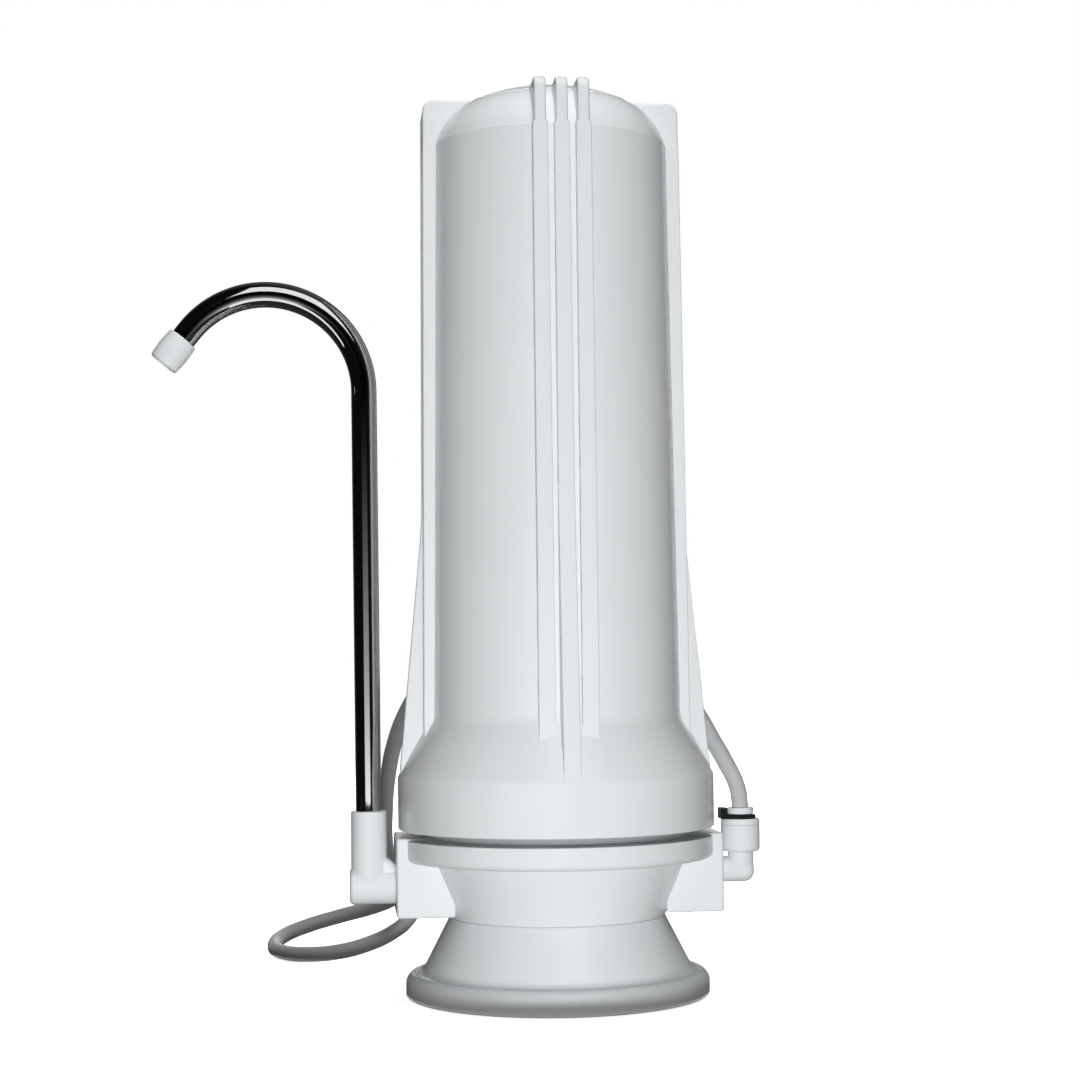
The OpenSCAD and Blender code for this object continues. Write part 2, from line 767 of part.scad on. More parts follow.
// One rib: its side outline, cut to a thickness that grows from the top down
module rib(flared) {
    intersection() {
        translate([0, rib_foot_t, 0])
            rotate([90, 0, 0])
                linear_extrude(2 * rib_foot_t) polygon(rib_outline(flared));
        rotate([90, 0, 90])
            linear_extrude(collar_r)
                polygon([
                    [-rib_foot_t / 2, collar_top_z - sink], [rib_foot_t / 2, collar_top_z - sink],
                    [rib_line_t / 2, dome_z], [rib_top_t / 2, dome_z], [rib_top_t / 2, rib_top_z],
                    [-rib_top_t / 2, rib_top_z], [-rib_top_t / 2, dome_z], [-rib_line_t / 2, dome_z]
                ]);
    }
}

function rib_edge_r(z) =
    rib_foot_r + (rib_top_r - rib_foot_r) * (z - tube_z) / (rib_top_z - tube_z);

function rib_outline(flared) =
    let (flare_z = collar_top_z + flare_h)
    concat(
        [[rib_root_r, rib_top_z]],
        arc_points([rib_top_r - rib_corner_r, rib_top_z - rib_corner_r], rib_corner_r, 90, 0, 6),
        flared ?
            [[rib_edge_r(flare_z), flare_z], [flare_r, collar_top_z], [tube_bore_r, collar_top_z]] :
            [[rib_edge_r(tube_z), tube_z], [rib_edge_r(tube_z), tube_z - shoulder_h / 2],
                [tube_bore_r, tube_z - shoulder_h / 2]],
        [[tube_bore_r, dome_z - dome_h], [rib_root_r, dome_z - dome_h]]
    );

module canister_seal() {
    color("black") soft_ring(seal_r - seal_w / 2, seal_w, neck_top_z, seal_h);
}

module carbon_block() {
    color("dimgray") ring(carbon_r, carbon_bore_r, carbon_z, carbon_l);
}

// The core is a tube with rows of round holes
module cartridge_core() {
    hole_r = 2;
    hole_step = 22;
    color("white")
        difference() {
            ring(core_r, core_r - core_wall, carbon_z, carbon_l);
            for (z = [carbon_z + hole_step : hole_step : carbon_top_z - hole_step], a = [0, 90])
                translate([0, 0, z])
                    rotate([0, 90, a])
                        cylinder(h = 2 * (core_r + sink), r = hole_r, center = true, $fn = 24);
        }
}

module cartridge_wrap() {
    color("white") ring(wrap_r, carbon_r + running_gap, carbon_z, carbon_l);
}

module cartridge_net() {
    color("lightblue") ring(net_r, wrap_r + running_gap, carbon_z, carbon_l);
}

// A cartridge end cap: a plate, and a skirt round the end of the block
module end_cap() {
    ring(cap_r, gasket_bore_r + loose_gap, 0, cap_t);
    ring(cap_r, net_r + running_gap, cap_t, cap_skirt_h);
}

module lower_end_cap() {
    color("white") translate([0, 0, cap_z]) end_cap();
}

module upper_end_cap() {
    color("white") translate([0, 0, cap_top_z]) mirror([0, 0, 1]) end_cap();
}

module lower_gasket() {
    color("dimgray") ring(gasket_r, gasket_bore_r, seat_z, gasket_t);
}

module upper_gasket() {
    color("dimgray") ring(gasket_r, gasket_bore_r, cap_top_z, gasket_t);
}

module inlet_elbow() {
    color("whitesmoke")
        difference() {
            union() {
                along_x(face_x, elbow_x, inlet_h, inlet_body_r);
                along_x(face_x - stem_l, face_x, inlet_h, port_r - running_gap);
                translate([elbow_x, 0, inlet_h]) {
                    sphere(r = inlet_body_r);
                    cylinder(h = inlet_neck_h + sink, r = inlet_body_r);
                }
                translate([elbow_x, 0, 0])
                    rotate_extrude()
                        polygon(concat(
                            [[0, barrel_z]],
                            arc_points([inlet_barrel_r - edge_r, barrel_z + edge_r], edge_r, -90, 0, 5),
                            [[inlet_barrel_r, inlet_cap_z], [0, inlet_cap_z]]
                        ));
            }
            along_x(face_x - stem_l - sink, elbow_x, inlet_h, hose_way_r);
            translate([elbow_x, 0, inlet_h]) {
                sphere(r = hose_way_r);
                cylinder(h = inlet_neck_h + inlet_barrel_h, r = hose_way_r);
            }
            translate([elbow_x, 0, hose_stop_z])
                cylinder(h = hose_ring_z - hose_stop_z + sink, r = hose_hole_r);
            translate([elbow_x, 0, hose_ring_z])
                cylinder(
                    h = inlet_cap_z - hose_ring_z + sink,
                    r = hose_hole_r + hose_ring_w + 2 * running_gap
                );
        }
}

// The cap that closes the barrel and keeps the collet in
module inlet_cap() {
    color("whitesmoke")
        translate([elbow_x, 0, 0])
            difference() {
                rotate_extrude()
                    polygon(concat(
                        [[0, inlet_cap_z], [inlet_barrel_r, inlet_cap_z]],
                        arc_points(
                            [inlet_barrel_r - small_edge_r, inlet_top_z - small_edge_r],
                            small_edge_r, 0, 90, 5
                        ),
                        [[0, inlet_top_z]]
                    ));
                translate([0, 0, inlet_cap_z - sink])
                    cylinder(h = inlet_cap_h + 2 * sink, r = collet_r + running_gap);
            }
}

module inlet_collet() {
    color("white")
        translate([elbow_x, 0, 0]) {
            ring(collet_r, hose_hole_r, collet_z, collet_flange_z - collet_z + sink);
            ring(collet_flange_r, hose_hole_r, collet_flange_z, collet_flange_h);
        }
}

module inlet_grip_ring() {
    color("silver")
        translate([elbow_x, 0, 0]) ring(hose_hole_r + hose_ring_w, hose_hole_r, grip_z, grip_t);
}

module inlet_ring() {
    color("black")
        translate([elbow_x, 0, 0])
            soft_ring(hose_hole_r + running_gap, hose_ring_w, hose_ring_z, hose_ring_h);
}

// The locking clip: an open ring under the collet's flange, with a thick tab
module tube_lock_clip() {
    color("black") {
        difference() {
            translate([elbow_x, 0, 0]) ring(clip_r, collet_r + running_gap, tab_z, clip_t);
            translate([elbow_x, -clip_gap_w / 2, tab_z - sink])
                cube([2 * clip_r, clip_gap_w, clip_t + 2 * sink]);
        }
        translate([tab_out_x, -tab_w / 2, tab_z])
            cube([elbow_x - clip_r - tab_out_x + sink, tab_w, clip_t]);
        translate([tab_out_x, -tab_w / 2, tab_z])
            cube([tab_in_x - tab_out_x, tab_w, clip_t + collet_flange_h]);
    }
}

module outlet_elbow() {
    color("whitesmoke")
        difference() {
            union() {
                translate([-elbow_x, 0, outlet_h])
                    rotate_extrude()
                        polygon(concat(
                            [[0, 0], [socket_r, 0]],
                            arc_points(
                                [socket_r - small_edge_r, socket_h - small_edge_r],
                                small_edge_r, 0, 90, 5
                            ),
                            [[0, socket_h]]
                        ));
                translate([-face_x, 0, outlet_h])
                    rotate([0, -90, 0])
                        rotate_extrude()
                            polygon(concat(
                                [[0, 0], [outlet_barrel_r, 0]],
                                arc_points(
                                    [outlet_barrel_r - edge_r, elbow_reach + outlet_end_l - edge_r],
                                    edge_r, 0, 90, 5
                                ),
                                [[0, elbow_reach + outlet_end_l]]
                            ));
                translate([-face_x, web_t / 2, outlet_h])
                    rotate([90, 0, 0])
                        linear_extrude(web_t)
                            polygon([
                                [0, 0], [0, outlet_barrel_r],
                                [socket_r - elbow_reach, outlet_barrel_r + web_h],
                                [-elbow_reach, outlet_barrel_r + web_h], [-elbow_reach, 0]
                            ]);
                along_x(-face_x, stem_l - face_x, outlet_h, port_r - running_gap);
            }
            along_x(-elbow_x, stem_l - face_x + sink, outlet_h, passage_r);
            translate([-elbow_x, 0, outlet_h]) cylinder(h = socket_h, r = passage_r);
            translate([-elbow_x, 0, spout_seat_z])
                cylinder(h = socket_top_z - spout_seat_z + sink, r = spout_r + running_gap);
            at_spout_rings()
                ring(
                    spout_r + spout_ring_w + running_gap, spout_r,
                    -running_gap, spout_ring_h + 2 * running_gap
                );
        }
}

module at_spout_rings() {
    for (k = [1, 2])
        translate([-elbow_x, 0, socket_top_z - k * spout_ring_gap]) children();
}

module spout_rings() {
    color("black")
        at_spout_rings() soft_ring(spout_r + running_gap, spout_ring_w - running_gap, 0, spout_ring_h);
}

// Puts children at the end of the bend, with +Z along the water's way
module at_spout_end() {
    translate([-elbow_x - bend_r, 0, bend_z])
        rotate([0, -bend_a, 0]) translate([bend_r, 0, 0]) children();
}

// The spout's tube: the riser, the bend and the straight end
module spout_tube() {
    color("silver") {
        translate([-elbow_x, 0, 0])
            ring(spout_r, spout_bore_r, spout_seat_z, bend_z - spout_seat_z);
        translate([-elbow_x - bend_r, 0, bend_z])
            rotate([90, 0, 0])
                rotate_extrude(angle = bend_a)
                    translate([bend_r, 0])
                        difference() {
                            circle(r = spout_r);
                            circle(r = spout_bore_r);
                        }
        at_spout_end() ring(spout_r + weld, spout_bore_r - weld, -sink, spout_end_l + sink);
    }
}

module spout_tip() {
    lip = 1.2;
    color("whitesmoke")
        at_spout_end()
            translate([0, 0, spout_end_l - tip_in_l])
                difference() {
                    rotate_extrude()
                        polygon(concat(
                            [[0, 0]],
                            arc_points([tip_d / 2 - lip, lip], lip, -90, 0, 5),
                            arc_points([tip_d / 2 - lip, tip_l - lip], lip, 0, 90, 5),
                            [[0, tip_l]]
                        ));
                    translate([0, 0, -sink]) cylinder(h = tip_in_l + sink, r = spout_r + running_gap);
                    cylinder(h = tip_l + sink, r = tip_d / 2 - mouth_lip - lip / 2);
                }
}

module hose() {
    color("gainsboro") swept_tube(concat(hose_points, [coil_lead_in, coil_in]), hose_r, hose_sides);
}

module hose_coil() {
    color("gainsboro") swept_tube(coil_path, hose_r, coil_sides);
}

module hose_tail() {
    color("gainsboro") swept_tube(concat([coil_out, coil_lead_out], tail_points), hose_r, hose_sides);
}

// A flat band round the coil's turns, drawn tight at one place
module hose_tie() {
    color("dimgray")
        translate([coil_c.x, coil_c.y, 0])
            rotate([90, 0, tie_a])
                translate([0, 0, -tie_w / 2])
                    linear_extrude(tie_w)
                        difference() {
                            translate(tie_in - [tie_t, tie_t])
                                square(tie_out - tie_in + 2 * [tie_t, tie_t]);
                            translate(tie_in) square(tie_out - tie_in);
                        }
}

module at_diverter() {
    translate([diverter_x, diverter_y, 0]) children();
}

module diverter_body() {
    color("silver")
        difference() {
            union() {
                at_diverter() {
                    cylinder(h = chamber_z, r = diverter_r - skirt_step);
                    translate([0, 0, chamber_z]) cylinder(h = diverter_h - chamber_z, r = diverter_r);
                }
                along_y(diverter_y, hose_port_y, hose_port_r);
                along_y(pull_boss_y, diverter_y, pull_boss_r);
            }
            at_diverter() {
                translate([0, 0, tap_z]) cylinder(h = tap_depth + sink, r = tap_r);
                translate([0, 0, washer_z]) cylinder(h = washer_t + sink, r = washer_r + running_gap);
                translate([0, 0, sink]) cylinder(h = washer_z, r = chamber_r);
                translate([0, 0, -sink])
                    cylinder(h = aerator_h + sink + running_gap, r = aerator_r + running_gap);
            }
            along_y(diverter_y, hose_port_y + sink, hose_way_r);
            along_y(pull_boss_y - sink, diverter_y, pull_d / 2 + running_gap);
        }
}

module diverter_washer() {
    color("black") at_diverter() ring(washer_r, chamber_r, washer_z, washer_t - seat_gap);
}

// The aerator: a round insert with a grid of holes
module diverter_aerator() {
    hole_r = 1.1;
    color("white")
        at_diverter()
            difference() {
                translate([0, 0, 2 * sink]) cylinder(h = aerator_h - 2 * sink, r = aerator_r);
                for (a = [0 : 60 : 300])
                    rotate(a)
                        translate([aerator_ring_r, 0, 0]) cylinder(h = aerator_h + sink, r = hole_r);
                cylinder(h = aerator_h + sink, r = hole_r);
            }
}

// The nut that holds the hose on its port
module diverter_nut() {
    color("whitesmoke")
        difference() {
            along_y(nut_y, nut_y + nut_l, nut_flats / sqrt(3), 6);
            along_y(nut_y - sink, hose_port_y + running_gap, hose_port_r + running_gap);
            along_y(nut_y, nut_y + nut_l + sink, hose_hole_r);
        }
}

module diverter_stem() {
    color("silver") along_y(knob_y + knob_l / 2, stem_in_y, pull_d / 2);
}

module diverter_valve() {
    color("black") along_y(stem_in_y, stem_in_y + valve_t, valve_r);
}

module diverter_knob() {
    color("black")
        difference() {
            along_y(knob_y, knob_y + knob_l, knob_d / 2);
            along_y(knob_y + knob_l / 2, knob_y + knob_l + sink, pull_d / 2 + running_gap);
        }
}

foot();
foot_pad();
foot_screws();
filter_base();
canister();
canister_seal();
carbon_block();
cartridge_core();
cartridge_wrap();
cartridge_net();
lower_end_cap();
upper_end_cap();
lower_gasket();
upper_gasket();
inlet_elbow();
inlet_cap();
inlet_collet();
inlet_grip_ring();
inlet_ring();
tube_lock_clip();
outlet_elbow();
spout_rings();
spout_tube();
spout_tip();
hose();
hose_coil();
hose_tail();
hose_tie();
diverter_body();
diverter_washer();
diverter_aerator();
diverter_nut();
diverter_stem();
diverter_valve();
diverter_knob();
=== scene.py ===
"""Dresses a countertop water filter: its mesh pieces, materials, supply hose, stage and camera.

Lengths are in metres, in the frame's own axes: +Z up, the front towards -Y.
"""

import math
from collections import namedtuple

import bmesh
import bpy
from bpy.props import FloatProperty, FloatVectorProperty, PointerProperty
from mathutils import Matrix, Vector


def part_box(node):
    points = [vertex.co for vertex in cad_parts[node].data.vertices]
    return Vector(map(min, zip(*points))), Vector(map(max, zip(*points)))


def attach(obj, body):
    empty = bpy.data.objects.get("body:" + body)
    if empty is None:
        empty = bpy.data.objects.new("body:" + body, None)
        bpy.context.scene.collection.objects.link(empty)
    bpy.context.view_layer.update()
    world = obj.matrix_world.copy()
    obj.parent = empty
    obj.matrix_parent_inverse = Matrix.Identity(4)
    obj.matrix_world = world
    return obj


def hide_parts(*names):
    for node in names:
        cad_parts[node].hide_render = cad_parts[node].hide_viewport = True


bl_info = {
    "name": "Countertop Water Filter",
    "version": (1, 0, 0),
    "blender": (4, 5, 0),
    "location": "3D View > Sidebar > Water Filter",
    "description": "Models a countertop water filter piece by piece and sets its stage",
    "category": "Mesh",
}

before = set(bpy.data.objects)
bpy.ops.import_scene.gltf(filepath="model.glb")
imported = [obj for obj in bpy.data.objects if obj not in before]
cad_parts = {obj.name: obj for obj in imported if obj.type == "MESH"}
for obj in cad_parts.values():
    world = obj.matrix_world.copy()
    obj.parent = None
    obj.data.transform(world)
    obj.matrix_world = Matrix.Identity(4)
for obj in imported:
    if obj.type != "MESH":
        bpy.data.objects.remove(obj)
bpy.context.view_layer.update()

MM = 0.001
WELD = 1e-6
# How far joined shapes reach into each other, and the gaps of a sliding fit and above a seat.
OVERLAP = 1 * MM
FIT_GAP = 0.05 * MM
SEAT_GAP = 0.1 * MM
# Steps round an arc, a rounded corner, a board's edge, the large and the small round pieces.
ARC_STEPS = 14
CORNER_STEPS = 4
EDGE_STEPS = 3
WIDE_STEPS = 160
SMALL_STEPS = 64
SHARP_ANGLE = math.radians(32)
ALONG_X = Matrix.Rotation(math.radians(90), 4, "Y")
ALONG_Y = Matrix.Rotation(math.radians(-90), 4, "X")
QUARTER_TURNS = [Matrix.Rotation(math.radians(a), 4, "Z") for a in (0, 90, 180, 270)]

Arc = namedtuple("Arc", "centre angle")


def linear(code):
    """Turns an sRGB hex colour into linear red, green and blue."""
    parts = [int(code[i:i + 2], 16) / 255 for i in (1, 3, 5)]
    return tuple(p / 12.92 if p <= 0.04045 else ((p + 0.055) / 1.055) ** 2.4 for p in parts)


def length(name, description, millimetres):
    """A length property, with its default in millimetres."""
    return FloatProperty(
        name=name, description=description, default=millimetres * MM, unit="LENGTH", precision=5
    )


def colour(name, description, code):
    """A colour property, with its default as an sRGB hex colour."""
    return FloatVectorProperty(
        name=name, description=description, default=linear(code), subtype="COLOR", min=0, max=1
    )


class FootSizes(bpy.types.PropertyGroup):
    rim_r: length("Rim radius", "Largest radius of the foot, at its rolled rim", 56.8)
    rim_h: length("Rim height", "Height of the rolled rim above the counter", 9.9)
    bead_r: length("Bead radius", "Rounding of the rolled rim's top", 4.3)
    edge_r: length("Lower edge", "Rounding of the rolled rim's lower edge", 1)
    top_r: length("Top radius", "Radius of the foot at its top", 40.2)
    skirt_r: length("Skirt radius", "Radius where the cone would meet the rim's top", 50.7)
    fillet_r: length("Fillet", "Hollow curve between the cone and the rim", 4)
    wall: length("Wall", "Wall of the foot's cone", 3)
    plate_t: length("Plate", "Thickness of the foot's top plate", 4)
    ledge_z: length("Ledge height", "Top of the inner ledge that carries the pad", 5)
    access_r: length("Access radius", "Radius of the opening above the pad", 34.2)


class BaseSizes(bpy.types.PropertyGroup):
    bowl_foot_r: length("Bowl foot radius", "Radius of the bowl at its foot", 40.5)
    bowl_top_r: length("Bowl top radius", "Radius of the bowl under the flange", 49)
    bowl_h: length("Bowl height", "Height of the bowl", 21.5)
    bowl_wall: length("Bowl wall", "Wall of the bowl", 4)
    floor_t: length("Floor", "Thickness of the bowl's floor", 6)
    flange_r: length("Flange radius", "Radius of the flange", 59)
    flange_t: length("Flange thickness", "Thickness of the flange", 8.4)
    flange_edge_r: length("Flange rounding", "Rounding of the flange's underside", 2.4)
    edge_r: length("Top rounding", "Rounding of the flange's top edge", 0.5)
    neck_r: length("Neck radius", "Outer radius of the threaded neck", 50.5)
    neck_wall: length("Neck wall", "Wall of the threaded neck", 6)
    thread_pitch: length("Thread pitch", "Pitch of the neck's thread", 3.5)
    thread_h: length("Thread height", "How far the thread stands off the neck", 0.4)
    block_d: length("Block depth", "Depth of the port block, front to back", 35)
    block_lift: length("Block lift", "Height of the block's underside above the foot", 1.5)
    block_proud: length("Block top", "How far the block's top stands above the flange", 0.8)
    block_edge_r: length("Block rounding", "Rounding of the block's edges", 1)
    block_root_x: length("Block root", "Where the block's ends start inside the bowl's wall", 39)
    seat_r: length("Seat radius", "Radius of the cartridge's seat", 17)
    spigot_r: length("Spigot radius", "Radius of the spigots that centre the cartridge", 11.5)


class CanisterSizes(bpy.types.PropertyGroup):
    collar_h: length("Collar height", "Height of the collar", 19.5)
    collar_r: length("Collar radius", "Radius of the collar", 59.1)
    collar_bore_r: length("Collar bore", "Bore of the collar over the neck", 51)
    ledge_h: length("Ledge height", "Depth of the collar's bore", 16.7)
    edge_r: length("Collar rounding", "Rounding of the collar's lower edge", 0.5)
    shoulder_h: length("Shoulder", "Height of the sloping shoulder", 21.2)
    tube_foot_r: length("Tube foot radius", "Radius of the tube at its foot", 47)
    tube_head_r: length("Tube head radius", "Radius of the tube at the dome", 44)
    dome_h: length("Dome height", "Height of the dome", 22.7)
    crown_r: length("Crown curve", "Radius of curvature of the dome's crown", 75)
    crown_reach: length("Crown radius", "Radius out to which the crown reaches", 31)
    mould_step: length("Mould step", "Small step left by the mould round dome and crown", 0.25)
    wall: length("Wall", "Wall of the canister", 4.6)
    press_z: length("Press height", "Height of the face that presses on the cartridge", 306.4)
    post_l: length("Post length", "Length of the post inside the cartridge", 12.1)


class RibSizes(bpy.types.PropertyGroup):
    pitch: length("Pitch", "Spacing of the three ribs in a group", 7.75)
    top_r: length("Top radius", "Distance of the ribs' outer edge from the axis, at the top", 47.5)
    foot_r: length("Foot radius", "Distance of the outer edge from the axis, at the shoulder", 49.5)
    root_r: length("Root radius", "Distance of the ribs' inner edge, inside the wall", 42.45)
    top_root_r: length("Top root", "Distance of the ribs' inner edge, inside the dome", 22)
    top_t: length("Top thickness", "Thickness of a rib above the dome's edge", 4.3)
    line_t: length("Line thickness", "Thickness of a rib just below the dome's edge", 5.4)
    foot_t: length("Foot thickness", "Thickness of a rib at the collar", 6.2)
    rise: length("Rise", "Height of the ribs above the dome's edge", 16.4)
    corner_r: length("Corner", "Rounding of the ribs' top corner", 4)
    edge_r: length("Edge", "Rounding of the ribs' long edges", 0.45)
    top_edge_r: length("Top edge", "Rounding of the ribs' edges above the dome's edge", 0.9)
    flare_h: length("Flare height", "Height over which the middle rib flares out", 97)
    flare_r: length("Flare radius", "Distance of the flare's foot from the axis", 58.5)


class InletSizes(bpy.types.PropertyGroup):
    axis_x: length("Upright axis", "Distance of the upright axis from the canister's", 70)
    axis_z: length("Port height", "Height of the port's axis", 45.8)
    body_r: length("Body radius", "Radius of the lower body", 4.85)
    end_r: length("End rounding", "Rounding of the lower body's end", 3.4)
    barrel_r: length("Barrel radius", "Radius of the barrel", 7.35)
    barrel_z: length("Barrel foot", "Height of the barrel's underside", 52.4)
    edge_r: length("Barrel rounding", "Rounding of the barrel's lower edge", 1.5)
    cap_z: length("Cap foot", "Height of the line between barrel and cap", 62.6)
    cap_top_z: length("Cap top", "Height of the cap's top", 64.9)
    groove_r: length("Groove", "Rounding of the line between barrel and cap", 0.3)
    socket_r: length("Socket", "Radius of the socket for the ring and the grip", 5.125)
    collet_r: length("Collet radius", "Outer radius of the collet", 4.725)
    collet_bore_r: length("Collet bore", "Bore of the collet", 3.325)
    collet_z: length("Collet foot", "Height of the collet's lower end", 58.9)
    flange_r: length("Collet flange", "Radius of the collet's flange", 5.1)
    flange_z: length("Flange foot", "Height of the flange's underside", 66.6)
    flange_top_z: length("Flange top", "Height of the flange's top", 69)


class OutletSizes(bpy.types.PropertyGroup):
    axis_x: length("Upright axis", "Distance of the upright axis from the canister's", -70)
    axis_z: length("Port height", "Height of the port's axis", 42.4)
    socket_r: length("Socket radius", "Radius of the upright socket at its mouth", 6.6)
    socket_foot_r: length("Socket foot", "Radius of the upright socket at the barrel", 6.75)
    socket_top_z: length("Socket top", "Height of the socket's mouth", 70.3)
    bore_r: length("Bore", "Bore that takes the spout", 4.8)
    seat_z: length("Seat", "Height of the spout's seat", 50)
    barrel_r: length("Barrel radius", "Radius of the level barrel", 6.85)
    barrel_l: length("Barrel length", "Length of the level barrel beyond the block", 16.9)
    edge_r: length("Barrel rounding", "Rounding of the barrel's end", 1.5)
    lip_r: length("Lip", "Rounding of the socket's mouth", 0.8)
    web_h: length("Web height", "Height of the web above the barrel", 4)
    web_t: length("Web thickness", "Thickness of the web", 9)
    web_edge_r: length("Web rounding", "Rounding of the web's edges", 2.6)


class SpoutSizes(bpy.types.PropertyGroup):
    radius: length("Tube radius", "Outer radius of the spout's tube", 4.75)
    wall: length("Tube wall", "Wall of the spout's tube", 1)
    bend_z: length("Bend height", "Height of the bend's centre", 226.1)
    bend_r: length("Bend radius", "Radius of the bend, at its middle", 35.7)
    bend_a: FloatProperty(
        name="Bend angle", description="Angle that the spout bends through",
        default=math.radians(141), subtype="ANGLE"
    )
    end_l: length("Straight end", "Straight length after the bend", 14.3)
    tip_r: length("Tip radius", "Radius of the tip", 6.05)
    tip_l: length("Tip length", "Length of the tip", 12)
    mouth_l: length("Mouth depth", "Depth of the mouth below the tube's end", 1.8)
    mouth_r: length("Mouth radius", "Radius of the mouth", 4.05)


class HoseSizes(bpy.types.PropertyGroup):
    diameter: length("Diameter", "Outside diameter of the hose", 6.35)
    tie_w: length("Tie width", "Width of the tie round the coil", 4)
    tie_t: length("Tie thickness", "Thickness of the tie", 0.7)
    tie_gap: length("Tie clearance", "Gap between the tie and the hose", 0.3)


class DiverterSizes(bpy.types.PropertyGroup):
    x: length("Place, across", "Place of the diverter's axis", 36)
    y: length("Place, back", "Place of the diverter's axis", 98)
    port_z: length("Port height", "Height of the hose port's axis", 14)
    radius: length("Radius", "Radius of the body", 14)
    skirt_r: length("Skirt radius", "Radius of the body's lower end", 12.5)
    height: length("Height", "Height of the body", 34)
    skirt_z: length("Skirt height", "Height of the step above the lower end", 7.4)
    tap_r: length("Tap bore", "Radius of the tap's thread", 11.4)
    washer_r: length("Washer seat", "Radius of the washer's seat", 10.65)
    washer_z: length("Washer height", "Height of the washer's seat", 22.5)
    tap_z: length("Tap depth", "Height of the tap thread's foot", 25)
    chamber_r: length("Chamber", "Radius of the water chamber", 6)
    aerator_r: length("Aerator seat", "Radius of the aerator's seat", 9.05)
    aerator_z: length("Aerator height", "Height of the aerator's seat", 6.05)
    groove: length("Groove", "Width of the body's turned grooves", 0.8)
    hose_port_r: length("Hose port", "Radius of the hose port", 5.6)
    hose_port_y: length("Hose port end", "Where the hose port ends", 117)
    boss_r: length("Pull boss", "Radius of the boss round the pull's stem", 5.5)
    boss_y: length("Pull boss end", "Where the pull's boss ends", 81.5)
    nut_y: length("Nut start", "Where the hose nut starts", 113)
    nut_l: length("Nut length", "Length of the hose nut", 12)
    nut_flats: length("Nut flats", "Distance across the nut's flats", 15)
    knob_y: length("Knob end", "Where the pull knob starts", 72.2)
    knob_l: length("Knob length", "Length of the pull knob", 9)
    knob_r: length("Knob radius", "Radius of the pull knob", 6.5)
    flute: length("Flutes", "Depth of the knob's flutes", 0.35)
    stem_r: length("Stem radius", "Radius of the pull's stem", 2.5)


class Finishes(bpy.types.PropertyGroup):
    plastic: colour("White plastic", "Colour of the white mouldings", "#E7EAEC")
    plastic_shade: colour("White shade", "Colour of the mouldings' flow marks", "#E0E4E6")
    hose: colour("Hose", "Colour of the hose", "#C4C6C7")
    chrome: colour("Chrome", "Colour of the chrome plate", "#DCDDDE")
    floor: colour("Floor", "Colour of the floor", "#F4F4F4")


class FilterSettings(bpy.types.PropertyGroup):
    foot: PointerProperty(type=FootSizes)
    base: PointerProperty(type=BaseSizes)
    canister: PointerProperty(type=CanisterSizes)
    ribs: PointerProperty(type=RibSizes)
    inlet: PointerProperty(type=InletSizes)
    outlet: PointerProperty(type=OutletSizes)
    spout: PointerProperty(type=SpoutSizes)
    hose: PointerProperty(type=HoseSizes)
    diverter: PointerProperty(type=DiverterSizes)
    finish: PointerProperty(type=Finishes)


def verts_of(geom):
    """The vertices among what a bmesh operator returns."""
    return [v for v in geom if isinstance(v, bmesh.types.BMVert)]


def edges_of(geom):
    """The edges among what a bmesh operator returns."""
    return [e for e in geom if isinstance(e, bmesh.types.BMEdge)]


def bevel(bm, geom, offset, segments, affect):
    """Rounds corners or edges."""
    bmesh.ops.bevel(
        bm, geom=geom, offset=offset, offset_type="OFFSET", segments=segments,
        profile=0.5, affect=affect, material=-1
    )


def turn_out(bm):
    """Turns the faces outwards."""
    bmesh.ops.recalc_face_normals(bm, faces=bm.faces[:])


def settle(bm):
    """Closes seams and poles, and turns the faces outwards."""
    bmesh.ops.remove_doubles(bm, verts=bm.verts[:], dist=WELD)
    bmesh.ops.dissolve_degenerate(bm, dist=WELD, edges=bm.edges[:])
    turn_out(bm)


def move(bm, place):
    """Takes a whole bmesh to its place."""
    bmesh.ops.transform(bm, matrix=place, verts=bm.verts[:])


def draw_edges(bm, edges, way):
    """Draws edges out along a way, and returns what that makes."""
    drawn = bmesh.ops.extrude_edge_only(bm, edges=edges)["geom"]
    bmesh.ops.translate(bm, vec=way, verts=verts_of(drawn))
    return drawn


def draw_face(bm, way):
    """Draws a flat face out along a way into a solid."""
    drawn = bmesh.ops.extrude_face_region(bm, geom=bm.faces[:])["geom"]
    bmesh.ops.translate(bm, vec=way, verts=verts_of(drawn))


def lathe(start, moves, steps=SMALL_STEPS, closed=False):
    """Spins an outline round Z: arcs, and lines to (r, z) or, rounded, to (r, z, rounding)."""
    bm = bmesh.new()
    first = pen = bm.verts.new((start[0], 0, start[1]))
    corners = []
    for move_to in moves:
        if isinstance(move_to, Arc):
            centre = (move_to.centre[0], 0, move_to.centre[1])
            drawn = bmesh.ops.spin(
                bm, geom=[pen], cent=centre, axis=(0, -1, 0), angle=move_to.angle, steps=ARC_STEPS
            )
            pen = verts_of(drawn["geom_last"])[0]
        else:
            r, z, *rounding = move_to
            last, pen = pen, bm.verts.new((r, 0, z))
            bm.edges.new((last, pen))
            corners += [(pen, amount) for amount in rounding]
    if closed:
        bm.edges.new((pen, first))
    for corner, amount in corners:
        bevel(bm, [corner], amount, CORNER_STEPS, "VERTICES")
    bmesh.ops.spin(
        bm, geom=bm.verts[:] + bm.edges[:], cent=(0, 0, 0), axis=(0, 0, 1),
        angle=math.tau, steps=steps, use_merge=True
    )
    settle(bm)
    return bm


def rod(radius, low, high, edge, *foot_edge):
    """A rod along Z with a rounded upper edge, and a rounded lower one where that is given."""
    return lathe((0, low), [(radius, low, *foot_edge), (radius, high, edge), (0, high)])


